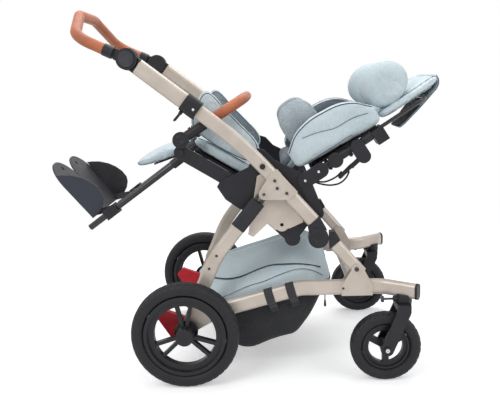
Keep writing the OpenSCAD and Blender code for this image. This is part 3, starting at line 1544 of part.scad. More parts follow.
module castor_fork(s) {
  color(black) on_side(s) {
    for (h = [-1, 1]) in_side(stem_y + h * fork_leg_y, fork_leg_t)
      link(fork_top_at, castor_at, fork_leg_w);
    translate([stem_x, stem_y, crown_top - crown_t]) cylinder(d = crown_d, h = crown_t);
    translate([
      fork_top_at[0] - fork_leg_w / 2, stem_y - fork_leg_y - fork_leg_t / 2, crown_top - crown_t
    ]) cube([fork_leg_w, 2 * fork_leg_y + fork_leg_t, crown_t]);
    translate([stem_x, stem_y, crown_top - crown_t])
      cylinder(d = stem_d, h = crown_t + part_gap + stem_depth);
    cross_rod(
      castor_at, stem_y - fork_leg_y - fork_leg_t / 2 - castor_nut_t,
      stem_y + fork_leg_y + fork_leg_t / 2 + castor_nut_t, castor_bolt_d
    );
    for (h = [-1, 1]) translate(lift(castor_at, stem_y + h * (fork_leg_y + (fork_leg_t + castor_nut_t) / 2)))
      rotate([90, 0, 0]) cylinder(d = castor_nut_d, h = castor_nut_t, center = true);
  }
}
module castor_lock(s) {
  color(grey) on_side(s) translate([stem_x, stem_y, lock_z]) rotate([0, -90, 0]) {
    translate([0, 0, lock_rod_from]) cylinder(d = lock_rod_d, h = lock_rod_to - lock_rod_from);
    translate([0, 0, lock_rod_to]) cylinder(d = lock_disc_d, h = lock_disc_t);
  }
}

// Brake pedals: ribbed treads that turn on the axle tube
pedal_l = 90;
pedal_shares = [[-0.756, 0.489], [-1, 0.244], [-0.6, -0.4], [-0.444, -0.4], [-0.133, -0.1], [0, 0.2]];
pedal_ring_d = 34;
pedal_y = 204;
pedal_w = 17;
module brake_pedal(s) {
  color(red) on_side(s) difference() {
    in_side(pedal_y, pedal_w) {
      polygon([for (q = pedal_shares) axle_at + pedal_l * q]);
      translate(axle_at) circle(d = pedal_ring_d);
    }
    cross_rod(axle_at, pedal_y - pedal_w, pedal_y + pedal_w, axle_tube_d + 2 * run_gap);
  }
}

placed() base_tubes();
placed() front_fittings();
placed() front_brackets();
placed() rear_axle();
placed() rear_legs();
placed() strut_sleeves();
placed() strut_rods();
placed() basket();
placed() push_tubes();
placed() gusset_plates();
placed() carrier_plates();
placed() fold_hubs();
placed() front_legs();
placed() leg_collars();
placed() outer_tubes();
placed() height_clamps();
placed() handle_hinges();
placed() handle_bar();
placed() handle_ends();
placed() handle_grip();
placed() seat_plates();
placed() seat_rails();
placed() seat_cushion();
placed() side_panels();
placed() knee_hubs();
placed() bumper_bar();
placed() legrest_hangers();
placed() calf_pad();
placed() foot_tubes();
placed() foot_clamps();
placed() footplate();
placed() back_frame();
placed() back_board();
placed() back_cushion();
placed() trunk_pads();
placed() back_clamps();
placed() recline_cables();
placed() recline_lever();
placed() head_frame();
placed() headrest_pads();
placed() rear_tyre(-1);  // rear_tyre_right
placed() rear_tyre(1);  // rear_tyre_left
placed() rear_rim(-1);  // rear_rim_right
placed() rear_rim(1);  // rear_rim_left
placed() castor_tyre(-1);  // castor_tyre_right
placed() castor_tyre(1);  // castor_tyre_left
placed() castor_rim(-1);  // castor_rim_right
placed() castor_rim(1);  // castor_rim_left
placed() castor_fork(-1);  // castor_fork_right
placed() castor_fork(1);  // castor_fork_left
placed() castor_lock(-1);  // castor_lock_right
placed() castor_lock(1);  // castor_lock_left
placed() brake_pedal(-1);  // brake_pedal_right
placed() brake_pedal(1);  // brake_pedal_left
placed() clamp_lever(-1);  // clamp_lever_right
placed() clamp_lever(1);  // clamp_lever_left
placed() handle_button(-1);  // handle_button_right
placed() handle_button(1);  // handle_button_left
placed() bumper_button(-1);  // bumper_button_right
placed() bumper_button(1);  // bumper_button_left
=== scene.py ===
import math

import bmesh
import bpy
import numpy as np
from mathutils import Matrix, Vector


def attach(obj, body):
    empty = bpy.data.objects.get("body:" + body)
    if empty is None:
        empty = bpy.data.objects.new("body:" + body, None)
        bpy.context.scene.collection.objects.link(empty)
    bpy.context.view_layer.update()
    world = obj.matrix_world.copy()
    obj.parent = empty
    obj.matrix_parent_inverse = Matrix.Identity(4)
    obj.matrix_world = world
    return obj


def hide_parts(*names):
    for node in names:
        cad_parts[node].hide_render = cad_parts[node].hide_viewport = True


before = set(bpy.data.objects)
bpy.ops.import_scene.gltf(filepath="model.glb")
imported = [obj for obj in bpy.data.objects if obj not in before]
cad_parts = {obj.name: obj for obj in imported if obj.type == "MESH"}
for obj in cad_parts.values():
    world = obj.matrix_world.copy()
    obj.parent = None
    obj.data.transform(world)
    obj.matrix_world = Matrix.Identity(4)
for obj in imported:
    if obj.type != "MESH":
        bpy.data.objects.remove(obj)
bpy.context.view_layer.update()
scene = bpy.context.scene
scene.view_settings.view_transform = "Standard"


# Studio: a white floor that fades into a white surround, three soft boxes, and the camera at
# the height and distance from which the photograph was taken, a little below the handle.
def linear(code):
    """Linear colour of an sRGB hex value: each channel through the sRGB curve."""
    v = np.array([int(code[i:i + 2], 16) for i in (1, 3, 5)]) / 255
    return (*np.where(v <= 0.04045, v / 12.92, ((v + 0.055) / 1.055) ** 2.4).tolist(), 1.0)


def add(tree, kind, inputs=None, **settings):
    """Add one shader node: settings go on the node, inputs on its sockets, linked where the
    value is itself a socket."""
    made = tree.nodes.new("ShaderNode" + kind)
    for key, value in settings.items():
        setattr(made, key, value)
    for key, value in (inputs or {}).items():
        if isinstance(value, bpy.types.NodeSocket):
            tree.links.new(value, made.inputs[key])
        else:
            made.inputs[key].default_value = value
    return made


def blank(name):
    """A new material, its empty node tree, and the socket with places in the piece's frame."""
    material = bpy.data.materials.new(name)
    material.use_nodes = True
    material.node_tree.nodes.clear()
    return material, material.node_tree, add(material.node_tree, "TexCoord").outputs["Object"]


def ramp(tree, value, low, high, start=0.0, stop=1.0, **settings):
    """Socket that runs from start to stop while value runs from low to high."""
    span = {0: value, 1: low, 2: high, 3: start, 4: stop}
    return add(tree, "MapRange", span, **settings).outputs[0]


def combine(tree, operation, first, second):
    """Socket with the result of one sum on two values."""
    return add(tree, "Math", {0: first, 1: second}, operation=operation).outputs[0]


def noise(tree, place, scale, detail, rough=0.5):
    """Socket with a noise about the given number of patches to the metre."""
    inputs = {"Vector": place, "Scale": scale, "Detail": detail, "Roughness": rough}
    return add(tree, "TexNoise", inputs).outputs[0]


def seen(tree):
    """Socket that is 1 for rays that the eye follows, straight, by reflection or through a pane."""
    rays = add(tree, "LightPath").outputs
    direct = combine(tree, "MAXIMUM", rays["Is Camera Ray"], rays["Is Glossy Ray"])
    return combine(tree, "MAXIMUM", direct, rays["Is Transmission Ray"])


def circle(count):
    """Angles of one full turn in equal steps."""
    return np.linspace(0, 2 * np.pi, count, endpoint=False)


def surface(name, points, finishes, wrap=False, ends=False, zones=None, sewn=None):
    """Mesh of a grid of points, or of several like grids: each face joins two neighbours of a
    row with the two below them. wrap joins the last column to the first, ends closes the outer
    rows with a fan about their mean, and points that meet become one. The map named cloth holds
    the lengths along the rows and down the columns in metres, zones the finish of each face,
    and sewn marks the points that a seam holds."""
    points = np.asarray(points, float)
    if points.ndim == 3:
        points = points[None]
    copies, rows, columns = points.shape[:3]
    number = np.arange(copies * rows * columns).reshape(copies, rows, columns)
    spans = columns if wrap else columns - 1
    left, right = number[:, :, :spans], np.roll(number, -1, axis=2)[:, :, :spans]
    quads = np.stack([left[:, :-1], right[:, :-1], right[:, 1:], left[:, 1:]], -1).reshape(-1, 4)
    looped = np.concatenate([points, points[:, :, :1]], axis=2) if wrap else points
    along = np.linalg.norm(np.diff(looped, axis=2), axis=3)
    along = np.concatenate([np.zeros((copies, rows, 1)), np.cumsum(along, axis=2)], axis=2)
    down = np.linalg.norm(np.diff(points, axis=1), axis=3).mean(axis=2)
    down = np.concatenate([np.zeros((copies, 1)), np.cumsum(down, axis=1)], axis=1)
    flat = np.stack([along, down[:, :, None] + 0 * along], axis=-1)
    maps = np.stack(
        [flat[:, :-1, :-1], flat[:, :-1, 1:], flat[:, 1:, 1:], flat[:, 1:, :-1]], axis=3
    ).reshape(-1, 2)
    places, faces = points.reshape(-1, 3), quads.tolist()
    marks = np.zeros(len(places)) if sewn is None else np.ravel(sewn).astype(float)
    bands = np.broadcast_to(0 if zones is None else zones, (copies, rows - 1, spans))
    slots = bands.ravel()
    if ends:
        for row, a, b in ((0, right, left), (-1, left, right)):
            middle = len(places) + np.arange(copies)
            places = np.concatenate([places, points[:, row].mean(axis=1)])
            marks = np.concatenate([marks, np.zeros(copies)])
            hub = np.broadcast_to(middle[:, None], (copies, spans))
            faces += np.stack([a[:, row], b[:, row], hub], -1).reshape(-1, 3).tolist()
            rim = flat[:, row]
            pole = np.broadcast_to(rim.mean(axis=1)[:, None], rim[:, 1:].shape)
            fan = (rim[:, 1:], rim[:, :-1]) if row == 0 else (rim[:, :-1], rim[:, 1:])
            maps = np.concatenate([maps, np.stack([*fan, pole], axis=2).reshape(-1, 2)])
            slots = np.concatenate([slots, bands[:, row].ravel()])
    mesh = bpy.data.meshes.new(name)
    mesh.from_pydata(places.tolist(), [], faces)
    mesh.uv_layers.new(name="cloth").data.foreach_set("uv", maps.ravel())
    mesh.attributes.new("sewn", "FLOAT", "POINT").data.foreach_set("value", marks)
    mesh.polygons.foreach_set("material_index", slots)
    mesh.polygons.foreach_set("use_smooth", np.ones(len(faces), bool))
    for finish in finishes:
        mesh.materials.append(finish)
    shape = bmesh.new()
    shape.from_mesh(mesh)
    bmesh.ops.remove_doubles(shape, verts=shape.verts, dist=2e-6)
    bmesh.ops.recalc_face_normals(shape, faces=shape.faces)
    shape.to_mesh(mesh)
    shape.free()
    piece = bpy.data.objects.new(name, mesh)
    scene.collection.objects.link(piece)
    return piece


world = bpy.data.worlds.new("white_surround")
scene.world = world
world.use_nodes = True
tree = world.node_tree
tree.nodes.clear()
glow = add(tree, "Background", {"Color": linear("#F3F6FA"), "Strength": 0.42})
white = add(tree, "Background", {"Color": (1.0, 1.0, 1.0, 1.0), "Strength": 1.0})
both = add(tree, "MixShader", {0: seen(tree), 1: glow.outputs[0], 2: white.outputs[0]})
add(tree, "OutputWorld", {0: both.outputs[0]})

# The floor is matt white paper that thins out to nothing towards its rim, so no edge shows. It is
# lifted to white for the eye alone, and throws no light of its own on the buggy.
floor_radius, floor_fade = 2.5, (0.9, 2.4)
paper, tree, place = blank("white_paper")
far = add(tree, "VectorMath", {0: place}, operation="LENGTH").outputs["Value"]
gone = ramp(tree, far, *floor_fade, interpolation_type="SMOOTHSTEP")
fibre = noise(tree, place, 40.0, 3.0)
tone = ramp(tree, fibre, 0.3, 0.7, 0.9, 0.93)
lifted = combine(tree, "MULTIPLY", seen(tree), 0.36)
matt = add(tree, "BsdfPrincipled", {
    "Base Color": tone, "Roughness": 0.95, "Specular IOR Level": 0.0,
    "Emission Color": (1.0, 1.0, 1.0, 1.0), "Emission Strength": lifted,
})
clear = add(tree, "BsdfTransparent")
blend = add(tree, "MixShader", {0: gone, 1: matt.outputs[0], 2: clear.outputs[0]})
add(tree, "OutputMaterial", {"Surface": blend.outputs[0]})
turn = circle(96)
reach = np.linspace(0, floor_radius, 26)[:, None]
disc = np.stack([reach * np.cos(turn), reach * np.sin(turn), 0 * reach * turn], -1)
surface("floor", disc, [paper], True)

aim = Vector((0, 0, 0.5))
for name, spot, size, watts in (
    ("key_box", (-1.7, -2.1, 2.5), 1.6, 46),
    ("fill_box", (2.2, -1.6, 1.7), 1.8, 24),
    ("top_box", (0.2, 0.7, 2.7), 2.2, 44),
):
    lamp = bpy.data.lights.new(name, "AREA")
    lamp.size = size
    lamp.energy = watts
    box = bpy.data.objects.new(name, lamp)
    box.location = spot
    box.rotation_euler = (aim - box.location).to_track_quat("-Z", "Y").to_euler()
    scene.collection.objects.link(box)

image_wide, focal_px, eye = 500, 619.5, (0.06878, -1.892, 0.830)
yaw, pitch, roll = np.radians([-1.96, 10.8, -2.1]).tolist()
camera = bpy.data.objects.new("camera", bpy.data.cameras.new("camera"))
camera.data.sensor_width = 36
camera.data.lens = focal_px * camera.data.sensor_width / image_wide
camera.matrix_world = (
    Matrix.Translation(eye) @ Matrix.Rotation(-yaw, 4, "Z")
    @ Matrix.Rotation(math.pi / 2 - pitch, 4, "X") @ Matrix.Rotation(roll, 4, "Z")
)
scene.collection.objects.link(camera)
scene.camera = camera


# Recline cables: two black sheathed steel cables from the recline lever to the hinge shaft,
# held at both ends, that bow out below the backrest tube under their own weight.
def side_line(origin, slope):
    """Places by a slanted line of the side view: s along it and h square to it from its origin,
    y across, all in millimetres from the rear axle, given in metres in the part's own frame."""
    a = math.radians(slope)

    def place(s, h, y):
        s, h, y = (np.asarray(v, float) for v in np.broadcast_arrays(s, h, y))
        x = origin[0] + s * math.cos(a) - h * math.sin(a) - middle_x
        z = origin[1] + s * math.sin(a) + h * math.cos(a)
        return np.stack([x, y, z], axis=-1) / 1000

    return place


def unit(v):
    """Rows of v, each made one long."""
    return v / np.linalg.norm(v, axis=-1, keepdims=True)


def mileage(path):
    """Length of a path from its start up to each of its points."""
    return np.concatenate([[0.0], np.cumsum(np.linalg.norm(np.diff(path, axis=0), axis=1))])


def spline(points, count, closed=False):
    """Smooth curve through points: a cubic between each two, with the slopes that their
    neighbours give, read at equal steps of the length of the straight line through them."""
    p = np.asarray(points, float)
    extra = 3 if closed else 0
    p = np.concatenate([p[-extra:], p, p[:extra]]) if closed else p
    k = mileage(p)
    m = np.gradient(p, k, axis=0)
    stop = k[-extra] if closed else k[-1]
    t = np.linspace(k[extra], stop, count, endpoint=not closed)
    i = np.clip(np.searchsorted(k, t, side="right") - 1, 0, len(k) - 2)
    h = (k[i + 1] - k[i])[:, None]
    x = (t - k[i])[:, None] / h
    return (
        (2 * x**3 - 3 * x**2 + 1) * p[i] + (x**3 - 2 * x**2 + x) * h * m[i]
        + (3 * x**2 - 2 * x**3) * p[i + 1] + (x**3 - x**2) * h * m[i + 1]
    )


def tube(path, radius, sides, lean, closed=False):
    """Rings round a path: circles in the plane of two directions square to the path, the first
    of them square to lean too. A closed path repeats its first ring."""
    around = np.roll(path, -1, axis=0) - np.roll(path, 1, axis=0)
    run = unit(around if closed else np.gradient(path, axis=0))
    side = unit(np.cross(run, np.asarray(lean, float)))
    rise = np.cross(side, run)
    a = circle(sides)[:, None]
    rings = path[:, None] + np.reshape(radius, (-1, 1, 1)) * (
        np.cos(a) * side[:, None] + np.sin(a) * rise[:, None]
    )
    return np.concatenate([rings, rings[:1]]) if closed else rings


def skin(tree, inputs):
    """Principled shader with the given inputs as the material's surface."""
    made = add(tree, "BsdfPrincipled", inputs)
    add(tree, "OutputMaterial", {"Surface": made.outputs[0]})


def bump(tree, strength, depth, height, normal=None):
    """Socket with the normal of a surface that height lifts by up to depth, in metres."""
    inputs = {"Strength": strength, "Distance": depth, "Height": height}
    if normal is not None:
        inputs["Normal"] = normal
    return add(tree, "Bump", inputs).outputs[0]


def mix(tree, share, first, second):
    """Socket with a mix of two colours, each a hex value or a socket."""
    first, second = (linear(c) if isinstance(c, str) else c for c in (first, second))
    return add(tree, "Mix", {0: share, 6: first, 7: second}, data_type="RGBA").outputs[2]


def moulded(name, tones, patch_mm, grain_mm, depth_mm, rough, edge_mm, **shader):
    """Painted or moulded finish: two near tones in soft patches, a fine grain that lifts the
    surface, and edges rounded to the eye and painted in the lighter third tone, partly rubbed
    wear and partly painted highlight."""
    # The third tone is a lighter edge colour: partly rubbed wear, partly a painted highlight.
    light, dark, edge = tones
    material, tree, place = blank(name)
    patch = noise(tree, place, 1000 / patch_mm, 4.0)
    grain = noise(tree, place, 1000 / grain_mm, 2.0)
    soft = add(tree, "Bevel", {"Radius": edge_mm / 1000}, samples=4).outputs[0]
    true = add(tree, "NewGeometry").outputs["Normal"]
    bend = add(tree, "VectorMath", {0: soft, 1: true}, operation="DOT_PRODUCT").outputs["Value"]
    # Edge mask, broken up by the patches: the lighter tone is painted here as a highlight along the
    # edges, with some rubbed wear.
    edge_wear_and_highlight = ramp(tree, bend, 0.985, 0.86, 0.0, 0.75)
    edge_wear_and_highlight = combine(tree, "MULTIPLY", edge_wear_and_highlight, patch)
    mottle = ramp(tree, patch, 0.35, 0.65)
    colour = mix(tree, mottle, dark, light)
    colour = mix(tree, edge_wear_and_highlight, colour, edge)
    gloss = ramp(tree, patch, 0.3, 0.7, rough[0], rough[1])
    lift = bump(tree, 1.0, depth_mm / 1000, grain, soft)
    look = {"Base Color": colour, "Roughness": gloss, "Normal": lift, "Specular IOR Level": 0.32}
    skin(tree, {**look, **shader})
    return material


def fit(piece, body, node=None):
    """Hand a piece over: attach it to the body it rides, and hide the CAD node that it replaces
    where it has one."""
    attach(piece, body)
    if node:
        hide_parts(node)


middle_x = 178.72
hands = (("right", -1), ("left", 1))
on_back = side_line((343, 558), 32)
# Extruded PVC sheath: smooth, a little dusty, with a soft shine along its length.
black_sheath = moulded(
    "extruded_black_sheath", ("#26262B", "#1C1C20", "#4A4A50"), patch_mm=14, grain_mm=1.2,
    depth_mm=0.02, rough=(0.38, 0.5), edge_mm=0.9,
)
cable_routes = (
    (-167, ((98, -42), (80, -46), (60, -45), (42, -40), (26, -28), (8.4, -9))),
    (-153, ((116, -56), (100, -66), (78, -70), (54, -62), (30, -42), (6.6, -10.4))),
)
cable_mm = 5
for number, (y, route) in enumerate(cable_routes, 1):
    s, h = np.array(route, float).T
    path = spline(on_back(s, h, y), 36)
    rings = tube(path, cable_mm / 2000, 14, (0, 1, 0))
    cable = surface(f"recline_cable_{number}", rings, [black_sheath], True, True)
    fit(cable, "backrest", "recline_cables")


# Frame tubes: oval and round aluminium tubes and pressed plates, sprayed in a satin champagne
# lacquer with fine metal flake, and bolted and riveted together.
def dress(finish, *names):
    """Give CAD nodes one finish."""
    for name in names:
        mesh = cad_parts[name].data
        mesh.materials.clear()
        mesh.materials.append(finish)


# The flake is about 0.1 mm on the real tube; it is drawn at 1.1 mm so that it shows.
champagne = moulded(
    "satin_champagne_lacquer", ("#C9BEB3", "#BEB2A6", "#DCD6CD"), patch_mm=60, grain_mm=1.1,
    depth_mm=0.012, rough=(0.3, 0.4), edge_mm=1.2,
    **{"Metallic": 0.28, "Coat Weight": 0.18, "Coat Roughness": 0.25},
)
dress(
    champagne, "base_tubes", "front_brackets", "rear_axle", "rear_legs", "push_tubes",
    "gusset_plates", "carrier_plates", "front_legs", "outer_tubes",
)


# Fittings: glass-filled nylon mouldings in black, with a spark-eroded grain that breaks up the
# light and edges painted a lighter grey, partly wear from handling and partly painted highlight.
# Tubes of the seat are gloss black.
black_nylon = moulded(
    "spark_grained_black_nylon", ("#232328", "#1A1A1E", "#5A5A61"), patch_mm=45, grain_mm=1.3,
    depth_mm=0.05, rough=(0.4, 0.52), edge_mm=1.0,
)
# Its light grey edge tone is a painted highlight along the plates' edges, with some wear.
black_plate = moulded(
    "matt_black_powder_coat", ("#232329", "#1B1B20", "#77777E"), patch_mm=30, grain_mm=0.9,
    depth_mm=0.03, rough=(0.42, 0.55), edge_mm=0.8,
)
gloss_black = moulded(
    "gloss_black_tube_lacquer", ("#202025", "#18181C", "#4A4A51"), patch_mm=40, grain_mm=2.0,
    depth_mm=0.006, rough=(0.16, 0.26), edge_mm=0.8, **{"Coat Weight": 0.4, "Coat Roughness": 0.12},
)
dress(
    black_nylon, "front_fittings", "fold_hubs", "leg_collars", "height_clamps", "handle_hinges",
    "handle_ends", "knee_hubs", "legrest_hangers", "foot_clamps", "back_clamps", "recline_lever",
    "castor_fork_right", "castor_fork_left", "clamp_lever_right", "clamp_lever_left", "seat_rails",
    "back_board",
)
dress(black_plate, "seat_plates", "back_frame")
dress(gloss_black, "strut_rods", "foot_tubes", "head_frame", "handle_bar")
# The strut sleeves are a soft rubber moulding with a pebbled grip, drawn at 2.4 mm a pebble.
pebbled = moulded(
    "pebbled_rubber_sleeve", ("#302F35", "#252429", "#4A4A50"), patch_mm=50, grain_mm=2.4,
    depth_mm=0.28, rough=(0.6, 0.72), edge_mm=1.4,
)
dress(pebbled, "strut_sleeves")
# Buttons and brake pedals: ABS in signal red and dark grey, satin from a polished mould.
signal_red = moulded(
    "satin_red_abs", ("#CE2230", "#BE1B28", "#E8616A"), patch_mm=35, grain_mm=1.6,
    depth_mm=0.03, rough=(0.32, 0.42), edge_mm=1.0,
)
dress(
    signal_red, "brake_pedal_right", "brake_pedal_left", "bumper_button_right", "bumper_button_left"
)
button_grey = moulded(
    "satin_grey_abs", ("#3E3F45", "#333439", "#7C7D84"), patch_mm=30, grain_mm=1.4,
    depth_mm=0.03, rough=(0.34, 0.44), edge_mm=0.8,
)
dress(
    button_grey, "handle_button_right", "handle_button_left", "castor_lock_right",
    "castor_lock_left",
)


# Wheels: black nylon rims with solid rubber tyres pressed over them. Each tyre has smooth side
# walls with two raised bead lines and slanting grooves in the tread, as a moulded tyre has.
wheel_black = moulded(
    "satin_black_rim_nylon", ("#212126", "#18181C", "#53535A"), patch_mm=40, grain_mm=1.2,
    depth_mm=0.03, rough=(0.34, 0.44), edge_mm=1.0,
)
dress(wheel_black, "rear_rim_right", "rear_rim_left", "castor_rim_right", "castor_rim_left")
tyre_rubber = moulded(
    "moulded_tyre_rubber", ("#232327", "#1A1A1E", "#45454B"), patch_mm=26, grain_mm=1.0,
    depth_mm=0.05, rough=(0.5, 0.66), edge_mm=0.8,
)


def spow(v, e):
    """Power that keeps the sign, for rounded square sections."""
    return np.sign(v) * np.abs(v) ** e


def step(low, high, v):
    """Smooth rise from 0 at low to 1 at high."""
    x = np.clip((v - low) / (high - low), 0, 1)
    return x * x * (3 - 2 * x)


def tyre(name, body, hub, y, radius, depth, width, blocks):
    """Tyre as a round section carried about the wheel's axis, flat where it sits on the rim.
    Slanting grooves are pressed into both shoulders, blocks of them round the wheel, and two
    bead lines stand out on each side wall. Sizes are in millimetres."""
    a = circle(blocks * 10)[None]
    t = np.linspace(-0.5 * np.pi, 1.5 * np.pi, 61)[:, None]
    across = width / 2 * spow(np.cos(t), 0.72)
    out = radius - depth / 2 + depth / 2 * spow(np.sin(t), 0.78)
    out = np.maximum(out, radius - depth)
    shoulder = step(0.25, 0.5, np.sin(t)) * step(0.06, 0.16, np.abs(np.cos(t)))
    phase = (a * blocks / (2 * np.pi) + 0.9 * np.cos(t)) % 1.0
    groove = np.exp(-(((phase - 0.5) / 0.1) ** 2)) * shoulder
    middle = np.exp(-((np.cos(t) / 0.035) ** 2)) * step(0.8, 0.95, np.sin(t))
    bead = np.exp(-(((np.sin(t) + 0.12) / 0.05) ** 2))
    bead = bead + np.exp(-(((np.sin(t) + 0.5) / 0.06) ** 2))
    across = across * (1 + 0.035 * bead) * (1 - 0.07 * groove)
    out = out - groove_mm * groove - line_mm * middle + 0 * a
    rings = np.stack(
        [hub[0] - middle_x + out * np.cos(a), y + across, hub[1] + out * np.sin(a)], axis=-1
    ) / 1000
    piece = surface(name, rings, [tyre_rubber], True)
    fit(piece, body, name.removesuffix("_tread"))


groove_mm, line_mm = 2.2, 1.4
rear_size = {"hub": (0, 150), "radius": 150, "depth": 35.8, "width": 46, "blocks": 42}
castor_size = {"hub": (553, 97.5), "radius": 97.5, "depth": 32.8, "width": 44, "blocks": 30}
for side, sign in hands:
    tyre(f"rear_tyre_{side}_tread", f"rear_wheel_{side}", y=285 * sign, **rear_size)
    tyre(f"castor_tyre_{side}_tread", f"castor_wheel_{side}", y=266 * sign, **castor_size)


# Bolts, rivets and nuts: domed steel rivets and socket screws in the plates and tubes, and the
# zinc-plated lock nuts of the castor axles. They are pressed or screwed in from outside.
bright_zinc = moulded(
    "bright_zinc_plate", ("#C9CCD1", "#B4B8BF", "#E6E8EB"), patch_mm=12, grain_mm=0.7,
    depth_mm=0.01, rough=(0.22, 0.34), edge_mm=0.4, **{"Metallic": 1.0},
)
dark_steel = moulded(
    "blackened_steel_screw", ("#4C4C52", "#3C3C42", "#8D8D93"), patch_mm=12, grain_mm=0.7,
    depth_mm=0.01, rough=(0.3, 0.4), edge_mm=0.4, **{"Metallic": 0.8},
)


def studs(name, places, radius, height, socket, finish, body, sides=(-1, 1)):
    """Domed heads that face out to both sides: a profile of radius and rise turned about each
    place's cross axis, dished in the middle by the socket's depth. Places are (x, y, z) in
    millimetres, the y of the right-hand side's outer face as a positive number."""
    profile = np.array([
        (0, 1 - socket), (0.42, 1 - socket), (0.45, 1.0), (0.62, 0.94), (0.82, 0.72), (0.96, 0.38),
        (1, 0), (1, -0.3),
    ])
    a = circle(20)
    p = np.array(places, float)
    p = np.concatenate([p * (1, sign, 1) for sign in sides])[:, None, None]
    out = np.sign(p[..., 1])
    r, h = (profile.T * np.array([[radius], [height]]))[:, None, :, None]
    x = p[..., 0] - middle_x + r * np.cos(a)
    z = p[..., 2] + r * np.sin(a)
    heads = np.stack([x, p[..., 1] + out * (h + 0 * a), z], axis=-1) / 1000
    fit(surface(name, heads, [finish], True), body)


for name, places, radius, height, socket, finish, body in (
    ("base_rivets", [(441, 245.2, 258), (70, 245.2, 196)], 3.4, 1.7, 0.2, dark_steel, "base"),
    ("bracket_bolts", [(478, 249.2, 313)], 6.2, 3.4, 0.35, dark_steel, "base"),
    ("leg_rivets", [(92.5, 241.3, 360), (70.3, 241.3, 323.7)], 4.0, 1.6, 0.4, dark_steel, "base"),
    ("gusset_rivets", [
        (259.7, 248.1, 566), (265.8, 248.1, 545.3), (291, 248.1, 531), (229.3, 248.1, 530),
    ], 4.4, 2.0, 0.4, dark_steel, "push_frame"),
    ("height_clamp_screws", [(49.7, 247.8, 762.9)], 3.8, 1.8, 0.4, bright_zinc, "push_frame"),
    ("recline_screws", [
        (380.3, 212.5, 582), (343, 212.5, 558),
    ], 4.0, 1.8, 0.4, bright_zinc, "backrest"),
):
    studs(name, places, radius, height, socket, finish, body)
for side, sign in hands:
    nut = [(553, 306.1, 97.5)]
    swivel = f"castor_swivel_{side}"
    studs(f"castor_nut_{side}", nut, 6.4, 2.8, 0.3, bright_zinc, swivel, (sign,))
# Moulded rings on the knee hubs and on the discs of the fold hubs.
for name, places, radius, height, body in (
    ("knee_rings", [(7, 211.4, 680)], 15, 1.8, "seat"),
    ("fold_hub_rings", [(375, 245.1, 403)], 25, 2.0, "push_frame"),
):
    studs(name, places, radius, height, 0.5, black_nylon, body)


# Leather: tan grain leather, cut in one strip, wrapped round the push handle's grip and round
# the bumper bar and sewn shut along the underside with a thicker pale thread.
leather, tree, place = blank("tan_grain_leather")
# Leather's pores lie about 1 mm apart; they are drawn at 2 mm so that they show.
pores = {"Vector": place, "Scale": 500.0}
cells = add(tree, "TexVoronoi", pores, feature="DISTANCE_TO_EDGE").outputs[0]
crease = noise(tree, place, 70.0, 6.0, 0.7)
worn = noise(tree, place, 14.0, 3.0)
tone = ramp(tree, worn, 0.35, 0.65)
colour = mix(tree, tone, "#A95A37", "#C27149")
pore = ramp(tree, cells, 0.0, 0.12, 0.35, 0.0)
colour = mix(tree, pore, colour, "#8A4327")
height = ramp(tree, cells, 0.0, 0.2)
height = combine(tree, "ADD", height, crease)
lift = bump(tree, 0.8, 0.0003, height)
gloss = ramp(tree, worn, 0.3, 0.7, 0.42, 0.58)
skin(tree, {
    "Base Color": colour, "Roughness": gloss, "Normal": lift,
    "Sheen Weight": 0.12, "Sheen Roughness": 0.4,
})
dress(leather, "handle_grip", "bumper_bar")
# Waxed thread, twisted: a fine slanting rib that shows only close up.
waxed_thread = moulded(
    "waxed_tan_thread", ("#D9A57F", "#C98F67", "#E8C3A4"), patch_mm=6, grain_mm=0.6,
    depth_mm=0.08, rough=(0.5, 0.6), edge_mm=0.3,
)


def rounded(points, radius, count):
    """Line through points with its corners rounded: at each corner an arc that touches both
    runs, of the given radius, read at equal steps of length."""
    p = np.asarray(points, float)
    line = [p[:1]]
    for before, corner, after in zip(p[:-2], p[1:-1], p[2:]):
        u, v = unit(corner - before), unit(after - corner)
        bend = math.acos(float(np.clip(u @ v, -1, 1)))
        back = radius * math.tan(bend / 2)
        w = unit(v - u * (u @ v))
        a = np.linspace(0, bend, 24)[:, None]
        line.append(corner - u * back + radius * (np.sin(a) * u + (1 - np.cos(a)) * w))
    line = np.concatenate([*line, p[-1:]])
    k = mileage(line)
    t = np.linspace(0, k[-1], count)
    return np.stack([np.interp(t, k, line[:, i]) for i in range(3)], axis=-1)


def leather_seam(name, path, radius_mm, body):
    """Sewn edge along a wrapped tube, on the side that the seam's lean x run points to: the two
    edges butt in a fine dark line, crossed by slanting stitches, each a short rod that is thick
    in the middle and pointed at both ends. Sizes are in millimetres."""
    long, thick, slant, every = 5.5, 1.3, 0.6, 4
    seam = tube(path, radius_mm / 1000, 4, seam_lean)[:, 0]
    out = (seam - path) / (radius_mm / 1000)
    line = surface(name + "_edge", tube(seam, 0.0006, 6, seam_lean), [seam_shadow], True, True)
    fit(line, body)
    spot = (seam + 0.0002 * out)[::every]
    run, out = unit(np.gradient(seam + 0.0002 * out, axis=0))[::every], out[::every]
    lie = run * math.cos(slant) + np.cross(out, run) * math.sin(slant)
    over = np.cross(lie, out)
    spot, lie, out, over = (v[:, None, None] for v in (spot, lie, out, over))
    t = np.linspace(-1, 1, 6)[None, :, None, None]
    a = circle(6)[:, None]
    girth = thick / 2000 * np.sqrt(np.maximum(0.02, 1 - t**2))
    rods = (
        spot + lie * (t * long / 2000) - thick / 5000 * t**2 * out
        + girth * (np.cos(a) * out + np.sin(a) * over)
    )
    fit(surface(name, rods, [waxed_thread], True, True), body)


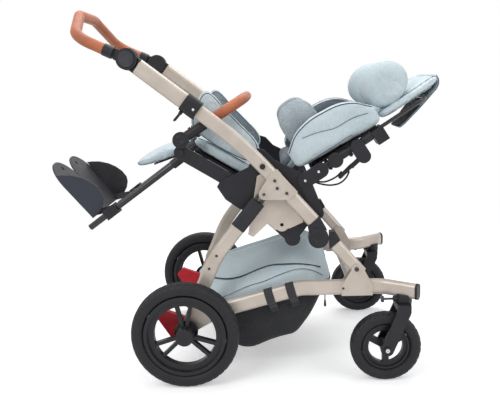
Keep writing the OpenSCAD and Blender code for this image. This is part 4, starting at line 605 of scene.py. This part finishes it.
seam_lean = (-0.8, 0.05, -0.6)
seam_shadow = moulded(
    "dark_leather_edge", ("#6B3822", "#5A2E1C", "#7A4630"), patch_mm=8, grain_mm=0.8,
    depth_mm=0.02, rough=(0.6, 0.7), edge_mm=0.3,
)
grip_line = np.array([
    (-177.1, 239.3, 927.5), (-250, 239.3, 962), (-280, 78, 1032),
    (-280, -78, 1032), (-250, -239.3, 962), (-177.1, -239.3, 927.5),
]) - (middle_x, 0, 0)
grip_path = rounded(grip_line / 1000, 0.06, 320)
leather_seam("handle_grip_stitching", grip_path, 15.05, "handle")
on_bumper = side_line((7, 680), 31.5)
bumper_line = on_bumper([80.3, 202.9, 202.9, 80.3], 0, [196, 196, -196, -196])
leather_seam("bumper_stitching", rounded(bumper_line, 0.07, 300), 14.55, "bumper")


# Cloth: the covers are a plain-woven polyester in a pale sage blue with a soft sheen, sewn over
# foam, with the padded insides in a grey spacer mesh and the edges piped in navy cord.
def woven(name, light, dark, thread_mm, rib_mm, rough, sheen, holes=False):
    """Cloth on the piece's own map: warp and weft as two crossing waves, or a honeycomb of
    holes where holes is given, a heather of tones, and slow dimples in the padding."""
    material, tree, place = blank(name)
    flat = add(tree, "UVMap", uv_map="cloth").outputs[0]
    if holes:
        comb = {"Vector": flat, "Scale": 1000 / thread_mm, "Randomness": 0.12}
        weave = ramp(tree, add(tree, "TexVoronoi", comb).outputs[0], 0.16, 0.42)
    else:
        scale = 0.31416 * 1000 / thread_mm
        bands = {"Vector": flat, "Scale": scale, "Distortion": 0.5, "Detail": 1.0}
        warp = add(tree, "TexWave", bands, bands_direction="X").outputs[1]
        weft = add(tree, "TexWave", bands, bands_direction="Y").outputs[1]
        weave = combine(tree, "MAXIMUM", warp, weft)
    heather = noise(tree, place, 160.0, 5.0, 0.7)
    drift = noise(tree, place, 11.0, 2.0)
    tone = ramp(tree, heather, 0.3, 0.7, 0.0, 0.55)
    tone = combine(tree, "ADD", tone, drift)
    tone = ramp(tree, tone, 0.35, 1.1)
    tone = combine(tree, "MULTIPLY", tone, weave) if holes else tone
    colour = mix(tree, tone, dark, light)
    fine = bump(tree, 0.7, rib_mm / 1000, weave)
    skin(tree, {
        "Base Color": colour, "Roughness": rough, "Normal": bump(tree, 0.35, 0.004, drift, fine),
        "Sheen Weight": sheen, "Sheen Roughness": 0.5,
    })
    return material


# Threads are about 0.4 mm; the weave is drawn at 1.6 mm, and the mesh's 2 mm cells at 4 mm. Each
# line has two tones, the thread and its height in millimetres, roughness, sheen and holes.
sage_cloth = woven("plain_woven_sage_polyester", "#CEDBDF", "#B8C8CE", 1.6, 0.12, 0.82, 0.2)
spacer_mesh = woven("grey_spacer_mesh", "#9AA6AC", "#5F6A71", 4.0, 0.5, 0.85, 0.15, True)
pale_mesh = woven("pale_grey_spacer_mesh", "#C3CDD2", "#8F9BA2", 4.0, 0.5, 0.85, 0.15, True)
dark_mesh = woven("slate_spacer_mesh", "#6A747C", "#434B52", 4.0, 0.5, 0.85, 0.15, True)
navy_cord = woven("navy_piping_cord", "#323A55", "#232A40", 1.2, 0.1, 0.7, 0.2)
black_webbing = woven("ribbed_black_webbing", "#2E2E33", "#202024", 2.0, 0.25, 0.75, 0.1)
black_lining = woven("black_nylon_lining", "#2A2B30", "#1E1F23", 2.4, 0.2, 0.7, 0.1)


# Basket: a bag of sage cloth above the base tubes and black net below, hung inside the frame on
# four webbing loops. Its walls lean in to a narrow drawn mouth, with a navy S-shaped piping on
# each side and gathers along the lower edge of the cloth.
black_net = woven("black_polyester_net", "#2A2B31", "#101014", 5.0, 0.6, 0.8, 0.05, True)
basket_half, mouth_half = 194, 13
mouth_line = np.array([
    (18, 243), (49, 269), (108, 298), (158, 314), (222, 332), (285, 351), (328, 360), (353, 359),
    (384, 336), (400, 310), (410, 282),
])
shoulder_line = np.array([
    (15, 196), (40, 200), (74, 206), (115, 224), (162, 247), (221, 261), (271, 284), (317, 301),
    (348, 299), (374, 287), (400, 268), (421, 246),
])
floor_line = np.array([
    (84, 160), (120, 74), (146, 57), (208, 60), (256, 88), (300, 92), (338, 132), (388, 216)
])


def soften(piece):
    """Round a piece by one subdivision."""
    smooth = piece.modifiers.new("smooth", "SUBSURF")
    smooth.levels = smooth.render_levels = 1


def thicken(piece, thick_mm, offset=-1):
    """Give a sheet its thickness, inwards unless offset says otherwise."""
    wall = piece.modifiers.new("cloth_wall", "SOLIDIFY")
    wall.thickness, wall.offset = thick_mm / 1000, offset


def piping(
    name, path, radius_mm, body, finish=navy_cord, closed=False,
    lean=(0.13, 1, 0.21),
):
    """Cord sewn into a seam: a round tube along it."""
    rings = tube(path, radius_mm / 1000, 8, lean, closed)
    fit(surface(name, rings, [finish], True, not closed), body)


def along_line(points, a):
    """Side-view point at share a of the way along a smooth line through points, in millimetres."""
    line = spline(np.column_stack([points, 0 * points[:, 0]]), 200)[:, :2]
    k = np.linspace(0, 1, 200)
    return np.interp(a, k, line[:, 0]), np.interp(a, k, line[:, 1])


def tube_line(x):
    """Height of the base tube's middle line at x: a rising run and then a level one."""
    (x0, z0), (x1, z1) = tube_start, tube_bend
    return np.where(x < x1, z0 + (x - x0) * (z1 - z0) / (x1 - x0), float(z1))


tube_start, tube_bend = (60, 190), (322, 258)
belly_mm, pucker_mm, sag_mm, crease_mm = 5, 1.3, 0.9, 2.2
net_from = 2
turn = circle(180)[None]
lean = np.linspace(0, 1, 19)[:-1, None]
down = np.linspace(0, np.pi / 2, 46)[:, None]
plan_x, plan_y = spow(np.cos(turn), 0.4), spow(np.sin(turn), 0.4)
flank = np.abs(plan_y)
inward = np.cos(down) ** 0.1
drop = np.sin(down) ** 0.8
mouth_x, mouth_z = along_line(mouth_line, 0.5 + 0.5 * plan_x)
shoulder_x, shoulder_z = along_line(shoulder_line, 0.5 + 0.5 * plan_x)
floor_x, floor_z = along_line(floor_line, 0.5 + 0.5 * plan_x * inward)
rise = np.cos(lean * np.pi / 2) ** 0.9
bag_x = np.concatenate([
    mouth_x * (1 - lean) + shoulder_x * lean, shoulder_x * (1 - drop) + floor_x * drop
])
bag_z = np.concatenate([
    shoulder_z + (mouth_z - shoulder_z) * rise, shoulder_z * (1 - drop) + floor_z * drop
])
half = np.concatenate([mouth_half + (basket_half - mouth_half) * lean, basket_half * inward])
slack = np.sin(np.pi * np.concatenate([0 * lean, drop]))
belly = slack * (0.5 + 0.5 * np.sin(bag_x / 41 + 0.6)) * flank
above, edge = bag_z - tube_line(bag_x), bag_z - shoulder_z
pucker = np.exp(-((edge / 20) ** 2)) * flank * np.sin(bag_x / 4.4 + 1.3 * np.sin(bag_x / 17))
sag = np.exp(-(((edge - 24) / 22) ** 2)) * np.sin(bag_x / 31 + 1.1) * flank
crease = np.exp(-(((above + 45) / 40) ** 2)) * np.sin(bag_x / 23 + bag_z / 31) * flank
push = belly_mm * belly + pucker_mm * pucker + sag_mm * sag + crease_mm * crease
bag_y = half * plan_y + np.sign(plan_y) * push
bag_z = bag_z + 1.2 * pucker
bag = np.stack([bag_x - middle_x, bag_y, bag_z], axis=-1) / 1000
pairs = above + np.roll(above, -1, axis=1)
in_net = (0.25 * (pairs[:-1] + pairs[1:]) < net_from).astype(int)
basket = surface("basket_bag", bag, [sage_cloth, black_net], True, zones=in_net)
thicken(basket, 2.2)
soften(basket)
fit(basket, "base", "basket")


def on_bag(points, sign, proud):
    """Places on the bag's side wall: for each side-view point, the mean of the wall's points,
    the nearest weighing most, moved out and up by proud. Sizes are in millimetres."""
    side = np.nonzero((sign * plan_y[0]) > 0.9)[0]
    x, y, z = (v[:, side].ravel() for v in (bag_x + 0 * bag_z, bag_y, bag_z))
    p = np.asarray(points, float)
    weight = 1 / (9 + (p[:, :1] - x) ** 2 + (p[:, 1:2] - z) ** 2) ** 3
    wall = (weight * y).sum(axis=1) / weight.sum(axis=1)
    return np.column_stack([p[:, 0] - middle_x, wall + sign * proud, p[:, 1] + 0.7 * proud]) / 1000


def settled(path, passes):
    """Path evened out: each inner point moved to the mean of itself and its neighbours, a few
    times over."""
    path = path.copy()
    for _ in range(passes):
        path[1:-1] = (path[:-2] + 2 * path[1:-1] + path[2:]) / 4
    return path


s_curve = spline([
    (62, 254), (110, 258), (173, 275), (221, 294), (280, 307), (320, 311), (354, 307), (385, 293),
], 90)
lower_curve = spline([
    (66, 206), (115, 226), (162, 248), (221, 263), (271, 285), (317, 302), (348, 300), (374, 288),
    (390, 275),
], 90)
for side, sign in hands:
    piping(f"basket_piping_{side}", settled(on_bag(s_curve, sign, 3.6), 60), 2.2, "base")
    piping(f"basket_seam_{side}", settled(on_bag(lower_curve, sign, 4.4), 60), 0.9, "base")
hem = np.stack([mouth_x[0] - middle_x, mouth_half * plan_y[0], mouth_z[0]], axis=-1) / 1000
piping("basket_hem", hem, 4.6, "base", sage_cloth, closed=True, lean=(0.1, 0.2, 1))


# Basket straps: four loops of ribbed black webbing round the base tubes. Each has a tail that
# runs down from the tube and is sewn to the bag.
def strap(name, station, sign):
    """Webbing loop: a flat oval carried along the tube for the webbing's width, with a tail that
    runs down from the tube's lower side and lies against the bag."""
    a = circle(72)[None]
    along = station + np.linspace(-strap_half, strap_half, 7)[:, None]
    flat = np.sign(np.sin(a)) * np.minimum(1, np.abs(np.sin(a)) * 3)
    rise = loop_flat * flat + loop_round * np.sin(a)
    out = loop_round * spow(np.cos(a), 0.8)
    loops = on_base(along + 0 * a, rise, sign * (tube_y + out))
    band = surface(name, loops, [black_webbing], True)
    thicken(band, 1.6)
    fit(band, "base")
    v = np.linspace(0, 1, 14)[None]
    tail = on_base(
        along + 0 * v, -loop_foot - tail_long * v, sign * (tail_y - tail_in * step(0, 0.75, v))
    )
    flap = surface(name + "_tail", tail, [black_webbing])
    thicken(flap, 1.8, 0)
    fit(flap, "base")


on_base = side_line(tube_start, 14.55)
tube_y, strap_half, loop_flat, loop_round = 230, 12, 10, 13.7
loop_foot, tail_long, tail_y, tail_in = 24, 34, 222, 18
for side, sign in hands:
    strap(f"basket_strap_rear_{side}", 182, sign)
    strap(f"basket_strap_front_{side}", 244, sign)


# Drawcord: the end of the cord that gathers the basket's rim, a black braid that comes out
# under the right base tube and ends in a moulded toggle.
cord_path = spline(np.array([
    (390, -206, 262), (391.5, -209, 246), (392.6, -211, 228), (392.6, -211.4, 214)
]) / 1000 - (middle_x / 1000, 0, 0), 24)
cord_mm, cord_lean = 3, (0, 1, 0.1)
braid = tube(cord_path, cord_mm / 2000, 10, cord_lean)
drawcord = surface("basket_drawcord", braid, [black_webbing], True, True)
fit(drawcord, "base")
toggle_high = np.array([215, 214.6, 213, 209, 203, 198, 195.6, 194.6, 194.2])
toggle_wide = np.array([0.4, 1.9, 2.5, 2.9, 3.4, 3.5, 3.1, 2.0, 0.4])
toggle_line = np.column_stack([
    np.full(9, 392.6 - middle_x), np.full(9, -211.4), toggle_high
]) / 1000
rings = tube(toggle_line, toggle_wide / 1000, 16, cord_lean)
toggle = surface("drawcord_toggle", rings, [black_nylon], True, True)
fit(toggle, "base")


# Seat cushion: a foam leaf in a sage cover, with a grey spacer-mesh panel on top, two sewn
# channels across it and a piped seam along each side. It lies on the seat rails.
def swell(piece, cap_mm):
    """Fill a sewn cover: cloth under air pressure from inside, held where it is sewn, for a few
    steps. Each point then keeps its move up to the cap, and one subdivision rounds the rest."""
    mesh, fill_steps = piece.data, 20
    start = np.empty(3 * len(mesh.vertices))
    mesh.vertices.foreach_get("co", start)
    held = np.empty(len(mesh.vertices))
    mesh.attributes["sewn"].data.foreach_get("value", held)
    group = piece.vertex_groups.new(name="sewn")
    group.add(np.nonzero(held > 0.5)[0].tolist(), 1.0, "REPLACE")
    cloth = piece.modifiers.new("cloth", "CLOTH")
    cloth.settings.vertex_group_mass = "sewn"
    cloth.settings.use_pressure = True
    cloth.settings.uniform_pressure_force = 4.0
    cloth.settings.quality = 4
    cloth.settings.mass = 0.25
    cloth.settings.shrink_min = -0.015
    cloth.settings.effector_weights.gravity = 0
    cloth.collision_settings.use_collision = False
    cloth.point_cache.frame_start, cloth.point_cache.frame_end = 1, fill_steps
    for frame_number in range(1, fill_steps + 1):
        scene.frame_set(frame_number)
    filled = piece.evaluated_get(bpy.context.evaluated_depsgraph_get()).data
    move = np.empty_like(start)
    filled.vertices.foreach_get("co", move)
    move = (move - start).reshape(-1, 3)
    length = np.linalg.norm(move, axis=1, keepdims=True)
    move *= np.minimum(1.0, cap_mm / 1000 / np.maximum(length, 1e-9))
    piece.modifiers.remove(cloth)
    piece.vertex_groups.clear()
    mesh.vertices.foreach_set("co", start + move.ravel())
    mesh.update()
    scene.frame_set(1)
    soften(piece)


def pad(
    name, points, finishes, cap_mm, body, node=None, ends=True,
    zones=None, sewn=None,
):
    """Padded cover: a wrapped grid, filled up to the cap and handed over."""
    piece = surface(name, points, finishes, True, ends, zones, sewn)
    swell(piece, cap_mm)
    fit(piece, body, node)


def seams(points, *places):
    """Which points of a grid a seam holds: those at the given places of it."""
    marks = np.zeros(points.shape[:2], bool)
    for place in places:
        marks[place] = True
    return marks


def zoned(points, *places):
    """Finish of each face of a wrapped grid: the first at large, the others at their places."""
    zones = np.zeros((len(points) - 1, points.shape[1]), int)
    for number, place in enumerate(places, 1):
        zones[place] = number
    return zones


def nose(u, w):
    """Rise from 0 to 1 over the first share w of a run, as a quarter circle."""
    return np.where(u >= w, 1.0, np.sqrt(np.maximum(0, 1 - (1 - u / w) ** 2)))


def bolster(place, start, long, base, deep, half_wide, thick, wide, rows, columns):
    """Padded form along a slanted line: rounded square sections, whose depth and width follow
    the shares thick and wide from end to end. Sizes are in millimetres."""
    u = np.linspace(0, 1, rows)[:, None]
    a = circle(columns)[None]
    across = half_wide * wide(u) * spow(np.cos(a), 0.5)
    rise = base + deep / 2 + deep / 2 * thick(u) * spow(np.sin(a), 0.5)
    return place(start + u * long + 0 * a, rise, across)


on_rail = side_line((4, 646), -31.93)
seat = bolster(
    on_rail, start=14, long=296, base=21.4, deep=40, half_wide=163,
    thick=lambda u: (0.2 + 0.8 * nose(u, 0.22)) * (0.4 + 0.6 * nose(1 - u, 0.12)),
    wide=lambda u: 1 - 0.1 * (1 - nose(u, 0.44)), rows=46, columns=96,
)
seat_sewn = seams(
    seat, np.s_[:, [9, 39, 57, 87]], np.s_[[16, 28], 16:33], np.s_[8:41, [16, 32]], np.s_[:, 61:84]
)
pad(
    "seat_cushion_cover", seat, [sage_cloth, spacer_mesh], 6, "seat", node="seat_cushion",
    zones=zoned(seat, np.s_[8:40, 16:32]), sewn=seat_sewn,
)
for side, column in (("right", 39), ("left", 9)):
    piping(f"seat_piping_{side}", seat[1:-1, column], 1.5, "seat")


# Side panels: padded leaves that stand on the seat cushion beside the thighs, an outer face of
# sage cloth and an inner one of spacer mesh, both sewn to a band all round with navy piping.
def slab(outline, middle, y, thick, rows, edge):
    """Padded slab: an outline drawn in towards its middle and moved across, from the middle of
    one face round the edge to the middle of the other. edge is the angle at which the edge
    turns into the face. Outline and middle are side-view points, sizes in millimetres."""
    t = np.concatenate([
        np.linspace(-np.pi / 2, -edge, rows), np.linspace(-edge, edge, 9)[1:-1],
        np.linspace(edge, np.pi / 2, rows),
    ])[:, None]
    shrink = np.abs(np.cos(t)) ** 0.42
    depth = y + thick / 2 * spow(np.sin(t), 0.7)
    x = middle[0] + shrink * (outline[:, 0] - middle[0])
    z = middle[1] + shrink * (outline[:, 1] - middle[1])
    return np.stack([x, (depth + 0 * x) / 1000, z], axis=-1)


def chaikin(points, rounds):
    """Closed outline with its corners cut: each side gives points at its first and last quarter,
    a few times over."""
    for _ in range(rounds):
        after = np.roll(points, -1, axis=-2)
        points = np.stack([0.75 * points + 0.25 * after, 0.25 * points + 0.75 * after], axis=-2)
        points = points.reshape(*points.shape[:-3], -1, points.shape[-1])
    return points


panel_shares = np.array([
    (-0.05, 0.03), (-0.09, 0.14), (-0.11, 0.29), (-0.07, 0.335), (0.02, 0.32), (0.14, 0.28),
    (0.33, 0.235), (0.53, 0.19), (0.6, 0.12), (0.58, 0.02), (0.4, 0), (0.15, 0),
])
panel_long, panel_seat, panel_rise = 320, 57.5, 1.16
panel_y, panel_thick, panel_rows = 151, 22, 16
panel_curve = spline(np.column_stack([chaikin(panel_shares, 2), np.zeros(48)]), 132, True)
panel_s, panel_h = panel_long * panel_curve[:, 0], panel_long * panel_rise * panel_curve[:, 1]
panel_edge = on_rail(panel_s, panel_seat + 0.6 + panel_h, 0)[:, [0, 2]]
panel_mid = on_rail(panel_long * 0.24, panel_seat + panel_long * 0.14, 0)[[0, 2]]
first_seam, last_seam = panel_rows - 1, panel_rows + 7
for side, sign in hands:
    points = slab(panel_edge, panel_mid, sign * panel_y, panel_thick, panel_rows, 0.55)
    sewn = seams(points, [9, first_seam, last_seam, len(points) - 10])
    zone = zoned(points, np.s_[last_seam:] if sign < 0 else np.s_[:first_seam])
    pad(
        f"side_panel_{side}", points, [sage_cloth, spacer_mesh], 5, "seat", node="side_panels",
        ends=False, zones=zone, sewn=sewn,
    )
    for name, row in zip(("outer", "inner"), (first_seam, last_seam)[::-sign]):
        piping(f"side_panel_{side}_{name}_seam", points[row], 1.2, "seat", closed=True)


# Calf pad: a small foam pad in the same cover on the legrest's plate, thin at its free edge,
# with a navy piping round its lower side.
on_calf = side_line((4, 646), 198)
calf = bolster(
    on_calf, start=14, long=142, base=-21.4, deep=32, half_wide=123,
    thick=lambda u: 0.12 + 0.88 * nose(u, 0.25) * nose(1 - u, 0.7),
    wide=lambda u: (0.9 + 0.1 * nose(u, 0.3)) * (0.4 + 0.6 * nose(1 - u, 0.45)),
    rows=34, columns=80,
)
calf_sewn = seams(calf, np.s_[:, [7, 33]], np.s_[:, 12:29], [0, 1, -2, -1])
pad(
    "calf_pad_cover", calf, [sage_cloth], 4, "legrest", node="calf_pad", sewn=calf_sewn
)
calf_round = spline(np.concatenate([calf[1:-1, 7], calf[-2:0:-1, 33]]), 120, True)
piping("calf_piping", calf_round, 1.6, "legrest", closed=True, lean=(0.3, 0.1, 1))


# Back cushion: a foam shell with deep leaf-shaped wings. The outside is sage cloth with two sewn
# seams on each wing, the inside slate and grey spacer mesh with sewn channels, the edges piped.
back_rows = 66
back_long, back_half, back_thick, wing_high, wing_thick = 264, 202, 34, 98, 40
u = np.linspace(0, 1, back_rows)
full = nose(u, 0.14) * nose(1 - u, 0.1)
wing_table = np.array([
    (0, 0.34), (0.05, 0.56), (0.17, 0.84), (0.39, 1), (0.7, 0.97), (0.86, 0.8), (0.95, 0.55),
    (1, 0.3),
])
wing = settled(np.interp(u, *wing_table.T)[:, None], 30)[:, 0]
mid = back_thick * (0.3 + 0.7 * full)
top = np.maximum(mid + 1, wing_high * wing + 8)
out = back_half * (0.95 + 0.05 * full)
tip, inner, nil = out - wing_thick / 2, out - wing_thick, 0 * u
outline = (
    (-tip, top + wing_thick / 8), (-out, top), (-out, top / 2), (-out, nil), (-out / 2, nil),
    (nil, nil), (out / 2, nil), (out, nil), (out, top / 2), (out, top),
    (tip, top + wing_thick / 8), (inner, top), (inner, (top + mid) / 2), (inner, mid),
    (out / 2, mid), (nil, mid), (-out / 2, mid), (-inner, mid), (-inner, (top + mid) / 2),
    (-inner, top),
)
section = chaikin(np.stack([np.stack(pair, axis=-1) for pair in outline], axis=1), 3)
base = 17 + 15 * np.maximum(0, 1 - u * back_long / 244) + 12 * (1 - full)
along = back_long * u[:, None] + 0 * section[..., 0]
back = on_back(along, base[:, None] + section[..., 1], section[..., 0])
upper_rows, lower_rows = np.arange(14, 60), np.arange(6, 44)
upper_columns = np.rint(np.interp(upper_rows, (14, 36, 59), (8, 13, 11))).astype(int)
lower_columns = np.rint(np.interp(lower_rows, (6, 43), (21, 19))).astype(int)
outer_columns = 79
wing_seams = {
    "right_upper": (upper_rows, upper_columns), "right_lower": (lower_rows, lower_columns),
    "left_upper": (upper_rows, outer_columns - upper_columns),
    "left_lower": (lower_rows, outer_columns - lower_columns),
}
pad(
    "back_cushion_cover", back, [sage_cloth, dark_mesh, spacer_mesh], 6, "backrest",
    node="back_cushion", zones=zoned(back, np.s_[:, 82:157], np.s_[:, 104:136]),
    sewn=seams(
        back, np.s_[:, [3, 76, 82, 157]], *wing_seams.values(), np.s_[:, 27:53],
        np.s_[[22, 44], 100:140], [0, -1],
    ),
)
for name, column in (("right", 3), ("left", 76)):
    piping(f"wing_piping_{name}", back[1:-1, column], 1.6, "backrest")
for name, place in wing_seams.items():
    seam = settled(back[place], 40)
    seam[:, 1] += 0.0014 * np.sign(seam[:, 1])
    piping(f"wing_seam_{name}", seam, 0.7, "backrest")


# Trunk pads: rounded side supports of foam in pale grey spacer mesh, bound round the edge, that
# stand on the back cushion inside its wings.
trunk_s, trunk_h, trunk_y, trunk_thick = 76, 130.6, 133, 27
a = circle(112)
trunk_edge = on_back(
    trunk_s + 55 * spow(np.cos(a), 0.75), trunk_h + 65.6 * spow(np.sin(a), 0.75), 0
)[:, [0, 2]]
trunk_mid = on_back(trunk_s, trunk_h, 0)[[0, 2]]
for side, sign in hands:
    points = slab(trunk_edge, trunk_mid, sign * trunk_y, trunk_thick, 15, 0.5)
    pad(
        f"trunk_pad_{side}", points, [pale_mesh], 5, "backrest", "trunk_pads",
        ends=False, sewn=seams(points, [14, 22]),
    )
    for name, row in (("outer", 14), ("inner", 22)):
        seam = f"trunk_pad_{side}_{name}_seam"
        piping(seam, points[row], 1.0, "backrest", pale_mesh, True)


# Lumbar roll: the soft lower end of the back cover, a foam roll in slate mesh above and sage cloth
# below, that closes the gap between the back and the seat. It is sewn to the back cushion.
u = np.linspace(-1, 1, 40)[:, None]
a = circle(64)[None]
full = 0.25 + 0.75 * np.sqrt(np.maximum(0, 1 - np.abs(u) ** 6))
lumbar = on_back(-14 + 24 * full * np.cos(a), 57 + 22 * full * np.sin(a), 146 * u)
pad(
    "lumbar_roll", lumbar, [sage_cloth, dark_mesh], 3, "backrest",
    zones=zoned(lumbar, np.s_[:, 4:36]), sewn=seams(lumbar, np.s_[:, [4, 36]]),
)


# Headrest: a foam pad with two drum-shaped side rolls in sage cloth. The rolls are gathered where
# they are sewn to the pad; a padded flap hangs behind, lined in black.
head = bolster(
    on_back, start=270, long=190, base=12.4, deep=25, half_wide=148,
    thick=lambda u: 0.2 + 0.8 * nose(u, 0.12) * nose(1 - u, 0.16),
    wide=lambda u: 0.82 + 0.18 * nose(u, 0.14) * nose(1 - u, 0.5), rows=42, columns=96,
)
pad(
    "head_pad_cover", head, [sage_cloth], 5, "headrest", node="headrest_pads",
    sewn=seams(head, np.s_[:, [10, 38, 58, 86]]),
)
for name, column in (("right", 38), ("left", 10), ("right_lower", 58), ("left_lower", 86)):
    piping(f"head_pad_piping_{name}", head[1:-1, column], 1.3, "headrest")

roll_s, roll_h, roll_y = 327, 93, 117
roll_long, roll_high, roll_half, gather_from = 70, 61, 39.5, -50
v = np.sin(np.linspace(-np.pi / 2, np.pi / 2, 44))[:, None]
a = circle(120)[None]
swellness = (1 - np.abs(v) ** 2.5) ** 0.5
for side, sign in hands:
    s = roll_long * swellness * np.cos(a)
    h = roll_high * swellness * np.sin(a)
    low = np.exp(-np.maximum(0, h - gather_from) / 13)
    ripple = 0.5 + 0.5 * np.cos(s / 2.1 + 1.7 * np.sin(s / 7) + 2 * sign)
    fold = low * ripple * np.abs(v) ** 2
    points = on_back(
        roll_s + s * (1 - 0.12 * fold), roll_h + h * (1 - 0.03 * fold),
        sign * roll_y + roll_half * v * (1 - 0.1 * fold),
    )
    pad(
        f"head_roll_{side}", points, [sage_cloth], 5, "headrest", node="headrest_pads",
        ends=False, sewn=seams(points, [16, 27], h < gather_from),
    )
    for name, row in zip(("outer", "inner"), (16, 27)[::-sign]):
        seam = f"head_roll_{side}_{name}_seam"
        piping(seam, points[row], 0.9, "headrest", sage_cloth, closed=True, lean=(0.05, 1, 0.02))

flap_points = np.array([
    (462, 34), (463, 22), (458, 9), (446, -1), (427, -8), (404, -16.5), (381, -24.5),
    (353, -33.5), (325, -42.5), (309, -45.5),
])
flap_rows, flap_columns, flap_half, flap_thick = 48, 84, 0.116, 0.0072
flap_line = spline(on_back(*flap_points.T, 0), flap_rows)
outward = np.cross(unit(np.gradient(flap_line, axis=0)), (0.0, 1.0, 0.0))
a = circle(flap_columns)[None, :, None]
wide = (1 - 0.45 * np.linspace(0, 1, flap_rows) ** 1.6)[:, None, None]
flap = (
    flap_line[:, None] + np.array([0, flap_half, 0]) * wide * spow(np.cos(a), 0.3)
    + flap_thick / 2 * outward[:, None] * spow(np.sin(a), 0.3)
)
lining = zoned(flap, np.s_[26:, 46:80])
flap_cover = surface("head_flap", flap, [sage_cloth, black_lining], True, True, lining)
soften(flap_cover)
fit(flap_cover, "headrest", "headrest_pads")
flap_round = np.concatenate([flap[1:-1, 0], flap[-2:0:-1, flap_columns // 2]])
piping("head_flap_piping", flap_round, 1.0, "headrest", closed=True, lean=(0.9, 0.1, 0.4))


# Footplate: a folded sheet of black ABS with two toe lobes. The outer face of its right guard
# has a painted navy cast of the light that falls on it.
footplate_skin, tree, place = blank("grained_black_abs_sheet")
across = add(tree, "SeparateXYZ", {0: place}).outputs[1]
# Mask of the right guard's outer face, which gets the painted navy cast of the light.
guard_painted_cast = ramp(tree, across, -0.1535, -0.1555)
patch = noise(tree, place, 22.0, 4.0)
grain = add(tree, "TexVoronoi", {"Vector": place, "Scale": 620.0}).outputs[0]
colour = mix(tree, patch, "#222126", "#302E33")
colour = mix(tree, guard_painted_cast, colour, "#222734")
soft = add(tree, "Bevel", {"Radius": 0.0015}, samples=4).outputs[0]
lift = bump(tree, 0.8, 0.0002, grain, soft)
gloss = ramp(tree, patch, 0.3, 0.7, 0.44, 0.58)
skin(tree, {"Base Color": colour, "Roughness": gloss, "Normal": lift})
dress(footplate_skin, "footplate")
